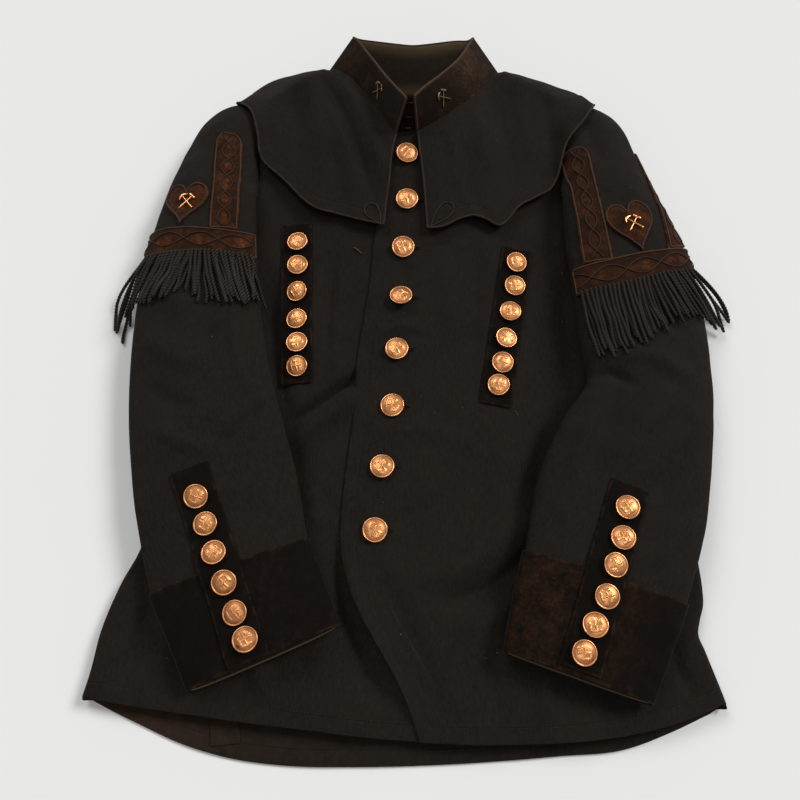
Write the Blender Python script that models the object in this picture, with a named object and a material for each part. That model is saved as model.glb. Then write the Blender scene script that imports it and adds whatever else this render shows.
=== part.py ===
"""Miner's dress tunic, laid flat on its back with its sleeves folded down over the fronts.

Lengths below are millimetres, and meshes are made in metres. X runs across the tunic to the wearer's left,
Y runs from hem to collar, and Z is up. Every cloth piece is a wall: a grid of points, its middle surface,
moved out and in by half its thickness. Right and left are the wearer's, so right lies at negative X.
"""
import math
from collections import namedtuple

import bmesh
import bpy
import numpy as np
from mathutils import Vector
from mathutils.bvhtree import BVHTree

MILLIMETRE = 0.001
ORIGIN = (-2.1, -2.7)         # the middle of the tunic's footprint, which becomes the model's origin

CLOTH = 2.0                   # wool with its lining
COLLAR_CLOTH = 2.4            # velvet on stiffening
CUFF_CLOTH = 1.6
TRIM = 1.2                    # velvet strips, ribbon bands and hearts
SEAM = 0.3                    # between two pieces that are sewn together
ON_CLOTH = 0.5                # under a trim sewn on a curved wall
REST = 0.8                    # under a wall that lies loosely on another
STRIP_GAP = {"right": 0.95, "left": 0.75}       # under the chest strips, which bridge its hollows
SIDE_FOLD = 6.0               # radius of the body's side fold, at the cloth's middle
SHOULDER_ROLL = 15.0          # how far from the shoulder seam the cloth starts to roll down
OVERLAP = 28.0                # how far the right front runs under the left one
FRONT_STEP = CLOTH + 0.6      # how much lower the right front lies there

BUTTON_RADIUS = 11.0
BUTTON_HEIGHT = 4.6
CHEST_BUTTON_RADIUS = 10.5

Knot = namedtuple("Knot", "at value")
Place = namedtuple("Place", "x y")
Station = namedtuple("Station", "inner_x inner_y outer_x outer_y top")
Hoop = namedtuple("Hoop", "low_x low_y low_z top_x top_y top_z")

# Side folds of the body below the armhole, x at each y, then the armhole's own curve up to the sleeve.
SIDE = {
    "right": [Knot(-310, -282), Knot(-292, -278), Knot(-254, -273), Knot(-214, -261), Knot(-191, -250),
              Knot(-140, -243), Knot(-80, -239), Knot(0, -240), Knot(60, -243), Knot(100, -242),
              Knot(120, -236), Knot(132, -220), Knot(145, -196), Knot(156, -176), Knot(164, -165)],
    "left": [Knot(-318, 249), Knot(-292, 243), Knot(-260, 239), Knot(-222, 241), Knot(-200, 240),
             Knot(-140, 236), Knot(-80, 232), Knot(0, 230), Knot(60, 232), Knot(100, 232),
             Knot(120, 226), Knot(132, 208), Knot(145, 181), Knot(156, 158), Knot(164, 144.5)],
}
ARMHOLE_FOOT = 164.0          # above this height the armhole runs beside the sleeve's inner edge

# Hems, y at each x.
BACK_HEM = [Knot(-283, -306), Knot(-260, -317), Knot(-232, -329), Knot(-203, -341), Knot(-160, -353),
            Knot(-112, -359), Knot(-60, -360), Knot(21, -358), Knot(109, -352), Knot(163, -347),
            Knot(200, -335), Knot(229, -323), Knot(250, -315)]
FRONT_HEM = {
    "right": [Knot(-281, -306), Knot(-218, -308), Knot(-176, -312), Knot(-138, -317), Knot(-59, -325),
              Knot(-20, -330), Knot(24, -335)],
    "left": [Knot(-12, -342), Knot(4, -342), Knot(44, -341), Knot(82, -334), Knot(166, -326),
             Knot(215, -319), Knot(249, -315)],
}
# Necklines and shoulder seams, y at each x.
BACK_TOP = [Knot(-168, 284), Knot(-97, 318), Knot(-60, 313), Knot(-6, 311), Knot(48, 313), Knot(85, 318),
            Knot(158, 282)]
FRONT_TOP = {
    "right": [Knot(-168, 284), Knot(-97, 320), Knot(-85, 312), Knot(-71, 300), Knot(-59, 284), Knot(-50, 269),
              Knot(-40, 250), Knot(-29, 229), Knot(-22, 221), Knot(14, 219)],
    "left": [Knot(-30, 221), Knot(-6, 223), Knot(8, 232), Knot(22, 242), Knot(42, 261), Knot(55, 275),
             Knot(69, 292), Knot(77, 308), Knot(86, 318), Knot(158, 282)],
}
NECK_SIDE = {"right": -97.0, "left": 86.0}

# The left front's free edge, x at each y: it lies over the right front and swings away below the last button.
FRONT_EDGE = [Knot(-342, -8), Knot(-310, -14), Knot(-294, -20), Knot(-264, -38), Knot(-230, -56),
              Knot(-200, -69), Knot(-183, -72), Knot(-144, -70), Knot(-51, -61), Knot(-16, -60),
              Knot(62, -49), Knot(126, -43), Knot(190, -31), Knot(224, -27)]

# Height of the fronts' upper face along the row of buttons and beside the armholes, at each y.
CENTRE_HEIGHT = [Knot(-350, 14.6), Knot(-172, 15.6), Knot(-115, 15.6), Knot(-57, 16.6), Knot(0, 19),
                 Knot(51, 23), Knot(104, 28), Knot(154, 36), Knot(203, 45), Knot(228, 48), Knot(262, 47),
                 Knot(290, 43), Knot(335, 36)]
HILL_REACH = 150.0            # from the row of buttons to where the fronts lie low again
SIDE_HEIGHT = [Knot(-350, 14.3), Knot(100, 14.3), Knot(150, 16), Knot(200, 20), Knot(250, 22),
               Knot(300, 20), Knot(335, 18)]

# The largest folds of the fronts: a ridge or a hollow along a line, fading to nothing at its ends.
Fold = namedtuple("Fold", "side x0 y0 x1 y1 width height")
FOLDS = [
    Fold("right", -152, 160, -148, -70, 10, 3.0),
    Fold("right", -78, -40, -140, -96, 14, 4.5),
    Fold("right", -66, -62, -128, -118, 12, -3.0),
    Fold("left", 122, 150, 134, 20, 13, 4.0),
    Fold("left", 100, -150, 8, -232, 15, 4.5),
    Fold("left", 104, -190, 30, -252, 13, -3.0),
    Fold("left", -30, -236, 12, -330, 14, 4.0),
]

# Sleeves lying on the fronts, from the shoulder to the cuff's end: inner edge, outer edge, height of the top.
SLEEVE = {
    "right": [Station(-166, 281, -182, 287, 15), Station(-166, 262, -213, 272, 28),
              Station(-167, 240, -233, 248, 36), Station(-167, 205, -250, 200, 40),
              Station(-165, 170, -258, 160, 43), Station(-163, 135, -265, 125, 45),
              Station(-160, 100, -270, 92, 45), Station(-154, 45, -275, 28, 45),
              Station(-142, -20, -273, -45, 44), Station(-125, -78, -265, -105, 43),
              Station(-110, -130, -250, -165, 42), Station(-99, -180, -229, -225, 41),
              Station(-85, -217, -209, -264, 40), Station(-71, -253, -190, -303, 38)],
    "left": [Station(160, 279, 176, 284, 15), Station(157, 262, 203, 264, 28),
             Station(152, 240, 220, 240, 36), Station(147, 205, 233, 200, 40),
             Station(144, 170, 243, 165, 43), Station(143, 135, 253, 130, 45),
             Station(143, 100, 265, 95, 45), Station(146, 50, 271, 40, 45),
             Station(148, -10, 270, -25, 44), Station(139, -58, 264, -78, 44),
             Station(119, -90, 256, -122, 43), Station(100, -140, 241, -180, 42),
             Station(86, -191, 219, -235, 41), Station(75, -232, 200, -274, 40),
             Station(65, -273, 181, -313, 38)],
}
CUFF_START = {"right": 11.0, "left": 12.0}      # the station where the velvet cuff begins
SLEEVE_ROUNDNESS = 2.5                          # exponent of the section's superellipse
OUTER_DROOP = 5.0                               # how much lower the sleeve's outer side lies

# Shoulder cape: the front edge, and the scalloped lower edge from the front corner to the tip.
CAPE_EDGE = {
    "right": [Place(-24, 221), Place(-28, 202), Place(-31, 170), Place(-34, 148), Place(-36, 125)],
    "left": [Place(-2, 224), Place(0, 203), Place(2, 187), Place(5, 155), Place(7, 121)],
}
CAPE_HEM = {
    "right": [Place(-36, 125), Place(-54, 130), Place(-81, 140), Place(-106, 149), Place(-113, 155),
              Place(-140, 186), Place(-163, 210), Place(-167, 234), Place(-177, 265), Place(-194, 285)],
    "left": [Place(7, 121), Place(21, 123), Place(41, 134), Place(55, 138), Place(65, 135), Place(79, 129),
             Place(87, 136), Place(99, 152), Place(119, 165), Place(133, 174), Place(141, 188),
             Place(145, 204), Place(151, 222), Place(160, 235), Place(172, 251), Place(187, 282)],
}
# The cape's upper edge: the neck seam, then the shoulder fold out to the tip.
CAPE_TOP = {
    "right": [Place(-24, 221), Place(-31, 232), Place(-42, 252), Place(-52, 271), Place(-62, 286),
              Place(-73, 302), Place(-87, 315), Place(-99, 326), Place(-126, 325), Place(-153, 319),
              Place(-176, 305), Place(-192, 290)],
    "left": [Place(-2, 224), Place(10, 233), Place(24, 244), Place(38, 257), Place(52, 272), Place(66, 290),
             Place(79, 311), Place(90, 322), Place(121, 313), Place(152, 301), Place(172, 294),
             Place(186, 287)],
}
CAPE_NECK_POINTS = 8          # how many of the points above belong to the neck seam
CAPE_BACK_NECK = [Place(-99, 326), Place(-84, 321), Place(-50, 315), Place(-6, 313), Place(40, 315),
                  Place(74, 320), Place(90, 322)]
CAPE_BACK_HEM = [Place(-54, 130), Place(-6, 122), Place(41, 130)]

# Stand collar, hoop by hoop from the right front edge round the back to the left front edge.
COLLAR = [
    Hoop(-24.5, 223, 49.2, -13.5, 238, 84), Hoop(-41, 253.5, 46.8, -29, 268, 73),
    Hoop(-51, 272.5, 43.6, -37, 285, 67), Hoop(-60.9, 287.5, 40.7, -46, 304, 62),
    Hoop(-71.8, 303.3, 36.8, -55, 322, 57), Hoop(-87, 317.8, 30.8, -64, 341, 52),
    Hoop(-97.5, 327.5, 21, -71, 352, 47), Hoop(-96, 328.5, 10, -66, 352, 42.5),
    Hoop(-84, 322.4, 3.4, -50, 347, 42), Hoop(-50, 316.3, 2.7, -24, 343, 42), Hoop(-6, 314.3, 2.7, -6, 341, 42),
    Hoop(38, 316.3, 2.7, 12, 343, 42), Hoop(72, 321.4, 3.4, 38, 347, 42), Hoop(86.5, 326, 10, 55, 351, 42.5),
    Hoop(88, 324, 20.5, 59, 351, 47), Hoop(78.8, 313.5, 30.3, 54, 339, 52), Hoop(65.5, 291.6, 37.4, 44, 315, 59),
    Hoop(51.5, 273.5, 42.4, 33, 295, 66), Hoop(37.5, 258.4, 45.6, 17, 273, 73),
    Hoop(20.6, 243.2, 48, 4, 256, 79), Hoop(-2.6, 227, 49.2, -6.5, 240, 84),
]

# Trims sewn on the sleeves and chest.
BAND_UPPER = {
    "right": [Place(-262, 116), Place(-249, 121), Place(-228, 121), Place(-206, 119), Place(-181, 114),
              Place(-163, 108)],
    "left": [Place(260, 98), Place(235, 91), Place(209, 85), Place(180, 79), Place(148, 73)],
}
BAND_LOWER = {
    "right": [Place(-267, 88), Place(-249, 90), Place(-229, 90), Place(-206, 87), Place(-181, 84),
              Place(-161, 84)],
    "left": [Place(263, 74), Place(240, 68), Place(209, 60), Place(180, 53), Place(149, 47)],
}
Tab = namedtuple("Tab", "name side top_x top_y foot_x foot_y width")
TABS = [
    Tab("arm_tab_right", "right", -192, 230, -190, 121, 25),
    Tab("arm_tab_left_inner", "left", 162.5, 213, 171.5, 81, 22),
]
EdgeTab = namedtuple("EdgeTab", "name side top_y foot_y top_column foot_column")
EDGE_TAB = EdgeTab("arm_tab_left_outer", "left", 214, 100, 5.6, 7.4)
EDGE_TAB_COLUMNS = 2.1        # its width, in columns of the sleeve round the section
Heart = namedtuple("Heart", "side x y width height turn")
HEARTS = [Heart("right", -231, 146, 44, 46, 4.0), Heart("left", 208.5, 118, 48, 53, -14.0)]
Strip = namedtuple("Strip", "side top_x top_y foot_x foot_y width")
CHEST_STRIPS = [Strip("right", -124, 136, -117, -33, 29), Strip("left", 97, 108, 68, -55, 29)]
CUFF_STRIPS = [Strip("right", -202, -123, -140, -281, 33), Strip("left", 177, -138, 122, -288, 33)]

FRONT_BUTTONS = [Place(-13, 202), Place(-13, 154), Place(-17, 104), Place(-19, 52), Place(-23, -1),
                 Place(-27, -57), Place(-36, -115), Place(-42, -172)]
BUTTONS_IN_A_ROW = 6
ButtonRow = namedtuple("ButtonRow", "name x0 y0 x1 y1")
BUTTON_ROWS = [
    ButtonRow("chest_button_right", -122, 116, -117, -19), ButtonRow("chest_button_left", 94, 91, 72, -38),
    ButtonRow("cuff_button_right", -194, -148, -144, -264), ButtonRow("cuff_button_left", 172, -158, 125, -274),
]

FRINGE_STRANDS = 28
FRINGE_LENGTH = 58.0
STRAND_WIDTH = 2.4
STRAND_STEPS = 3
STRAND_REACH = 6.0            # how far round a strand the sleeve holds it up
STRAND_DROOP = 5.0            # how much a strand falls at each step past the sleeve


def smooth(at, knots):
    """Cubic curve through the knots, its slope at each one taken from its neighbours."""
    places = np.array([k.at for k in knots], float)
    values = np.array([k.value for k in knots], float)
    slopes = np.gradient(values, places)
    at = np.clip(np.asarray(at, float), places[0], places[-1])
    i = np.clip(np.searchsorted(places, at) - 1, 0, len(places) - 2)
    span = places[i + 1] - places[i]
    t = (at - places[i]) / span
    return ((1 + 2 * t) * (1 - t) ** 2 * values[i] + t * (1 - t) ** 2 * span * slopes[i]
            + t * t * (3 - 2 * t) * values[i + 1] + t * t * (t - 1) * span * slopes[i + 1])


def straight(at, knots):
    """Straight lines through the knots."""
    return np.interp(at, [k.at for k in knots], [k.value for k in knots])


def ease(low, high, value):
    """0 below low, 1 above high, and a smooth rise between them."""
    t = np.clip((np.asarray(value, float) - low) / (high - low), 0, 1)
    return t * t * (3 - 2 * t)


def along(rows, share, column):
    """Smooth reading of one named column of a table at row number `share`."""
    return smooth(share, [Knot(i, getattr(row, column)) for i, row in enumerate(rows)])


def walk(places, shares):
    """Points on a line of places at shares 0 to 1 of its length."""
    line = np.array([(p.x, p.y) for p in places], float)
    steps = np.linalg.norm(np.diff(line, axis=0), axis=1)
    reached = np.concatenate([[0], np.cumsum(steps)]) / steps.sum()
    return np.stack([np.interp(shares, reached, line[:, k]) for k in (0, 1)], axis=-1)


def normals_of(points):
    """Unit normal at each point of a grid, on the upper side where the grid lies flat."""
    across = np.gradient(points, axis=1)
    down = np.gradient(points, axis=0)
    normal = np.cross(across, down)
    normal /= np.maximum(np.linalg.norm(normal, axis=2, keepdims=True), 1e-9)
    return normal


class Sheet:
    """A middle surface that can be read between its grid points, and lifted along its normals."""

    def __init__(self, points):
        self.points = points
        self.normals = normals_of(points)
        if self.normals[..., 2].mean() < 0:
            self.normals = -self.normals

    def level(self, seam, within, facing, share):
        """Turn the normals along a folded seam level, outwards from the points within it or inwards."""
        outward = self.points[seam] - self.points[within]
        outward[..., 2] = 0
        outward *= facing / np.linalg.norm(outward, axis=-1, keepdims=True)
        share = np.asarray(share)[..., None]
        turned = self.normals[seam] * (1 - share) + outward * share
        self.normals[seam] = turned / np.linalg.norm(turned, axis=-1, keepdims=True)
        return self

    def at(self, row, column, lift=0.0):
        """The point at fractional row and column, bilinear between the four grid points round it."""
        rows, columns = self.points.shape[:2]
        row = np.clip(row, 0, rows - 1)
        column = np.clip(column, 0, columns - 1)
        i = np.minimum(np.floor(row).astype(int), rows - 2)
        j = np.minimum(np.floor(column).astype(int), columns - 2)
        s = (row - i)[..., None]
        t = (column - j)[..., None]

        def blend(grid):
            upper = grid[i, j] * (1 - t) + grid[i, j + 1] * t
            lower = grid[i + 1, j] * (1 - t) + grid[i + 1, j + 1] * t
            return upper * (1 - s) + lower * s

        normal = blend(self.normals)
        normal /= np.linalg.norm(normal, axis=-1, keepdims=True)
        return blend(self.points) + normal * np.asarray(lift)[..., None]


def material(name, colour, roughness, metallic=0.0):
    made = bpy.data.materials.new(name)
    made.use_nodes = True
    made.diffuse_color = (*colour, 1)
    shader = made.node_tree.nodes["Principled BSDF"]
    shader.inputs["Base Color"].default_value = (*colour, 1)
    shader.inputs["Roughness"].default_value = roughness
    shader.inputs["Metallic"].default_value = metallic
    return made


def add_piece(name, points, faces, finish):
    """One object from points in millimetres; faces are turned outwards."""
    mesh = bpy.data.meshes.new(name)
    placed = (np.asarray(points, float) - [ORIGIN[0], ORIGIN[1], 0]) * MILLIMETRE
    mesh.from_pydata(placed.tolist(), [], [list(map(int, face)) for face in faces])
    shape = bmesh.new()
    shape.from_mesh(mesh)
    if shape.calc_volume(signed=True) < 0:
        bmesh.ops.reverse_faces(shape, faces=shape.faces)
    shape.to_mesh(mesh)
    shape.free()
    mesh.shade_smooth()
    mesh.materials.append(finish)
    piece = bpy.data.objects.new(name, mesh)
    bpy.context.scene.collection.objects.link(piece)
    return piece


def grid_faces(rows, columns, first=0):
    """Quads of a rows by columns grid whose points start at number `first`."""
    index = first + np.arange(rows * columns).reshape(rows, columns)
    return np.stack([index[:-1, :-1], index[:-1, 1:], index[1:, 1:], index[1:, :-1]], axis=-1).reshape(-1, 4)


def wall(name, sheet, thickness, finish):
    """Closed wall: both faces of a sheet, half the thickness from its middle, and the four rims."""
    rows, columns = sheet.points.shape[:2]
    count = rows * columns
    outer = sheet.points + sheet.normals * thickness / 2
    inner = sheet.points - sheet.normals * thickness / 2
    upper = grid_faces(rows, columns)
    lower = grid_faces(rows, columns, count)[:, [0, 3, 2, 1]]
    index = np.arange(count).reshape(rows, columns)
    loop = np.concatenate([index[0, :-1], index[:-1, -1], index[-1, :0:-1], index[:0:-1, 0]])
    after = np.roll(loop, -1)
    rim = np.stack([after, loop, loop + count, after + count], axis=-1)
    points = np.concatenate([outer.reshape(-1, 3), inner.reshape(-1, 3)])
    return add_piece(name, points, np.concatenate([upper, lower, rim]), finish)


def tree_of(piece):
    mesh = piece.data
    points = [v.co.copy() for v in mesh.vertices]
    return BVHTree.FromPolygons(points, [tuple(p.vertices) for p in mesh.polygons])


def height_on(trees, x, y):
    """Height of the uppermost face at (x, y), or 0 where there is none."""
    best = 0.0
    start = Vector(((x - ORIGIN[0]) * MILLIMETRE, (y - ORIGIN[1]) * MILLIMETRE, 0.3))
    for tree in trees:
        hit = tree.ray_cast(start, Vector((0, 0, -1)))[0]
        if hit is not None:
            best = max(best, hit.z / MILLIMETRE)
    return best


def heights_on(trees, x, y, reach=0.0):
    """Heights at many places; with a reach, the highest within a cross of that reach."""
    around = [(0, 0)]
    if reach:
        around += [(reach, 0), (-reach, 0), (0, reach), (0, -reach)]
        around += [(a * reach * 0.7, b * reach * 0.7) for a in (-1, 1) for b in (-1, 1)]
    flat = [max(height_on(trees, a + dx, b + dy) for dx, dy in around) for a, b in zip(x.ravel(), y.ravel())]
    return np.array(flat).reshape(x.shape)


def relax(height, passes):
    """Cloth over what carries it: it bridges hollows, and never sinks below the given heights."""
    floor = height.copy()
    for _ in range(passes):
        ringed = np.pad(height, 1, mode="edge")
        mean = (ringed[:-2, 1:-1] + ringed[2:, 1:-1] + ringed[1:-1, :-2] + ringed[1:-1, 2:]) / 4
        height = np.maximum(floor, mean)
    return height


def sleeve_edge_x(side, y):
    """Inner edge of the sleeve at height y, above the armhole's foot."""
    rows = SLEEVE[side][:5]
    return straight(y, [Knot(row.inner_y, row.inner_x) for row in reversed(rows)])


def body_edge(side, y):
    """The body's outer boundary: the side fold, then the armhole."""
    sign = -1 if side == "right" else 1
    armhole = sleeve_edge_x(side, y) - sign * ON_CLOTH
    return np.where(y > ARMHOLE_FOOT, armhole, smooth(y, SIDE[side]))


def fold_height(side, x, y):
    """Ridges and hollows pressed into one front."""
    total = np.zeros(np.broadcast(x, y).shape)
    for fold in [fold for fold in FOLDS if fold.side == side]:
        run = np.array([fold.x1 - fold.x0, fold.y1 - fold.y0], float)
        share = ((x - fold.x0) * run[0] + (y - fold.y0) * run[1]) / (run @ run)
        away = ((x - fold.x0) * run[1] - (y - fold.y0) * run[0]) / np.linalg.norm(run)
        ends = ease(0, 0.3, share) * ease(0, 0.3, 1 - share)
        total += fold.height * ends * np.exp(-(away / fold.width) ** 2)
    return total


def front_height(side, x, y):
    """Upper face of the fronts: highest along the buttons, rolled down at the shoulder."""
    centre = FRONT_BUTTONS[0].x
    hill = (1 + np.cos(np.pi * np.clip(np.abs(x - centre) / HILL_REACH, 0, 1))) / 2
    low = smooth(y, SIDE_HEIGHT)
    height = low + (smooth(y, CENTRE_HEIGHT) - low) * hill + fold_height(side, x, y)
    gap = straight(x, FRONT_TOP[side]) - y
    round_down = np.sqrt(1 - (1 - np.clip(gap / SHOULDER_ROLL, 0, 1)) ** 2)
    beyond_neck = ease(-12, 4, np.sign(NECK_SIDE[side]) * (x - NECK_SIDE[side]))
    seam_height = CLOTH * 3 + SEAM * 2
    rolled = seam_height + (height - seam_height) * round_down
    return height + (rolled - height) * beyond_neck


FOLD_TURNS = np.radians([0, 30, 60])
ARMHOLE_ROWS = [120, 132, 145, 156, 164, 172, 188, 205, 222, 240, 262]
FRONT_ROWS = [-300, -260, -215, -170, -120, -70, -20, 30, 75, 100] + ARMHOLE_ROWS
BACK_ROWS = [-290, -200, -90, 20, 90, 108] + ARMHOLE_ROWS


def side_rows(heights, hem, top, side):
    """Shares of the way from hem to shoulder at which rows reach these heights at the body's side."""
    end = smooth(min(SIDE[side][0].at + 6, -300), SIDE[side])
    foot = float(smooth(end, hem))
    head = float(straight(SLEEVE[side][0].inner_x, top))
    return np.concatenate([[0], (np.array(heights, float) - foot) / (head - foot), [1]])


def side_width(folded, number):
    """How far in from the body's boundary the fold's column `number` lies, folded round or flat."""
    turn = FOLD_TURNS[number] if number < len(FOLD_TURNS) else math.pi / 2
    return CLOTH / 2 + SIDE_FOLD * (folded * (1 - math.cos(turn)) + (1 - folded) * number / 4)


def front_sheet(side):
    """Middle surface of one front, from the side seam to its free edge and from hem to shoulder."""
    sign = -1 if side == "right" else 1
    rows = side_rows(FRONT_ROWS, FRONT_HEM[side], FRONT_TOP[side], side)[:, None]
    shares = np.array([0, .1, .2, .31, .42, .53, .64, .75, .86, 1])[None, :]
    turns = FOLD_TURNS[None, :]
    across = np.concatenate([np.zeros_like(turns), shares], axis=1)
    free = OVERLAP if side == "right" else 0.0
    x = np.zeros((rows.shape[0], across.shape[1]))
    y = np.full_like(x, -100.0)
    for _ in range(12):
        edge = body_edge(side, y)
        folded = 1 - ease(96, 140, y)
        inner = edge - sign * side_width(folded, len(FOLD_TURNS))
        centre = smooth(y, FRONT_EDGE) + free
        x = inner + (centre - inner) * across
        foot = smooth(x, FRONT_HEM[side])
        y = foot + (straight(x, FRONT_TOP[side]) - foot) * rows
    z = front_height(side, x, y) - CLOTH / 2
    if side == "right":
        below = ease(-44, -8, x - smooth(y, FRONT_EDGE)) * FRONT_STEP
        z = z - below
    for k, turn in enumerate(turns[0]):
        edge = body_edge(side, y[:, k])
        folded = 1 - ease(96, 140, y[:, k])
        seam_z = CLOTH / 2 + SIDE_FOLD + SEAM / 2
        top = z[:, turns.shape[1]]
        x[:, k] = edge - sign * side_width(folded, k)
        z[:, k] = top + folded * (seam_z + (top - seam_z) * math.sin(turn) - top)
    sheet = Sheet(np.stack([x, y, z], axis=-1))
    return sheet.level(np.s_[:, 0], np.s_[:, 4], 1, 1 - ease(96, 140, y[:, 0]))


def back_height(x, y):
    """Middle height of the back: flat, and raised over the cape's back."""
    return CLOTH / 2 + (CLOTH + SEAM) * ease(86, 114, y) + np.zeros_like(x)


def back_sheet():
    rows = side_rows(BACK_ROWS, BACK_HEM, BACK_TOP, "left")[:, None]
    shares = np.array([0, .16, .33, .5, .67, .84, 1])
    turned = len(FOLD_TURNS)
    across = np.concatenate([np.zeros(turned), shares, np.ones(turned)])[None, :]
    x = np.zeros((rows.shape[0], across.shape[1]))
    y = np.full_like(x, -100.0)
    for _ in range(12):
        folded = 1 - ease(96, 140, y)
        low = body_edge("right", y) + side_width(folded, turned)
        high = body_edge("left", y) - side_width(folded, turned)
        x = low + (high - low) * across
        foot = smooth(x, BACK_HEM)
        y = foot + (straight(x, BACK_TOP) - foot) * rows
    z = back_height(x, y)
    for side, sign, first, step in (("right", -1, 0, 1), ("left", 1, -1, -1)):
        for number, turn in enumerate(FOLD_TURNS):
            k = first + step * number
            edge = body_edge(side, y[:, k])
            folded = 1 - ease(96, 140, y[:, k])
            seam_z = CLOTH / 2 + SIDE_FOLD - SEAM / 2
            x[:, k] = edge - sign * side_width(folded, number)
            z[:, k] = z[:, k] + folded * (seam_z - z[:, k]) * (1 - math.sin(turn))
    sheet = Sheet(np.stack([x, y, z], axis=-1))
    sheet.level(np.s_[:, 0], np.s_[:, 4], -1, 1 - ease(96, 140, y[:, 0]))
    return sheet.level(np.s_[:, -1], np.s_[:, -5], -1, 1 - ease(96, 140, y[:, -1]))


SLEEVE_ANGLES = np.radians([-180, -164, -138, -100, -62, -32, -12, 6, 24, 44, 66, 90, 112, 132, 150, 166,
                            180])


def sleeve_rows(side):
    """Station numbers of the sleeve's rows: closer at the head, the armhole's foot and the cuff."""
    last = len(SLEEVE[side]) - 1.0
    cuff = CUFF_START[side]
    head = [0, 0.6, 1.3, 2.1, 3, 3.6, 3.95, 4.3, 4.7, 5.3, 6, 7]
    middle = list(np.linspace(8.1, cuff - 0.9, 3))
    return np.array(head + middle + [cuff - 0.1, cuff, cuff + 0.9, last - 0.05, last])


def sleeve_sheet(side, trees):
    """Middle surface of a sleeve, round its section and down its length.

    The section is a superellipse between the inner and the outer edge, lying on what is under it. Its ends
    meet at the inner edge. In the head they part: the upper one meets the front's armhole and the lower one
    the back's.
    """
    sign = -1 if side == "right" else 1
    stations = sleeve_rows(side)[:, None]
    angle = SLEEVE_ANGLES[None, :]
    power = 2 / SLEEVE_ROUNDNESS
    lateral = np.sign(np.cos(angle)) * np.abs(np.cos(angle)) ** power
    fullness = np.abs(np.sin(angle)) ** power
    upper = angle > 0

    def column(name):
        return along(SLEEVE[side], stations, name)

    width = np.hypot(column("outer_x") - column("inner_x"), column("outer_y") - column("inner_y"))
    share = (1 + lateral * (1 - CLOTH / width)) / 2
    x = column("inner_x") + (column("outer_x") - column("inner_x")) * share
    y = column("inner_y") + (column("outer_y") - column("inner_y")) * share
    open_head = 1 - ease(3.6, 4.25, stations)
    on_cuff = ease(CUFF_START[side] - 0.5, CUFF_START[side] - 0.1, stations)

    bare = np.full_like(x, CLOTH + SEAM)
    carried = heights_on(trees, x, y, 9.0) + REST + on_cuff * (CUFF_CLOTH + SEAM)
    ground = relax(np.where(open_head > 0.5, bare, np.maximum(carried, bare)), 6)
    bottom = ground + CLOTH / 2
    top = column("top") - CLOTH / 2 - OUTER_DROOP * ease(0.1, 1.0, lateral)
    top = np.maximum(top, bottom + 6)
    middle = (bottom + top) / 2
    front_seam = front_height(side, column("inner_x") - sign * 2, column("inner_y")) - CLOTH / 2
    back_seam = CLOTH * 1.5 + SEAM
    inner_top = middle + SEAM / 2 + (front_seam - middle) * open_head
    inner_low = middle - SEAM / 2 + (back_seam - middle) * open_head
    end = np.where(lateral > 0, middle, np.where(upper, inner_top, inner_low))
    z = end + (np.where(upper, top, bottom) - end) * fullness
    return Sheet(np.stack([x, y, z], axis=-1))


def on_sleeve(side, x, y):
    """Row and column of a sleeve's sheet at a place on its upper side."""
    x = np.asarray(x, float)
    y = np.asarray(y, float)
    low = np.zeros_like(x)
    high = np.full_like(x, len(SLEEVE[side]) - 1.0)
    sign = -1 if side == "right" else 1
    for _ in range(40):
        guess = (low + high) / 2
        ix, iy, ox, oy = (along(SLEEVE[side], guess, name) for name in
                          ("inner_x", "inner_y", "outer_x", "outer_y"))
        beyond = sign * ((ox - ix) * (y - iy) - (oy - iy) * (x - ix)) < 0
        low = np.where(beyond, guess, low)
        high = np.where(beyond, high, guess)
    length = np.hypot(ox - ix, oy - iy)
    share = ((x - ix) * (ox - ix) + (y - iy) * (oy - iy)) / length ** 2
    lateral = np.clip((2 * share - 1) / (1 - CLOTH / length), -0.999, 0.999)
    angle = np.arccos(np.sign(lateral) * np.abs(lateral) ** (SLEEVE_ROUNDNESS / 2))
    row = np.interp(guess, sleeve_rows(side), np.arange(len(sleeve_rows(side))))
    return row, np.interp(angle, SLEEVE_ANGLES, np.arange(len(SLEEVE_ANGLES)))


def ruled(upper, lower, shares):
    """Grid of straight lines from each upper point to the lower point under it."""
    shares = np.asarray(shares)[:, None, None]
    return upper[None] * (1 - shares) + lower[None] * shares


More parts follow.
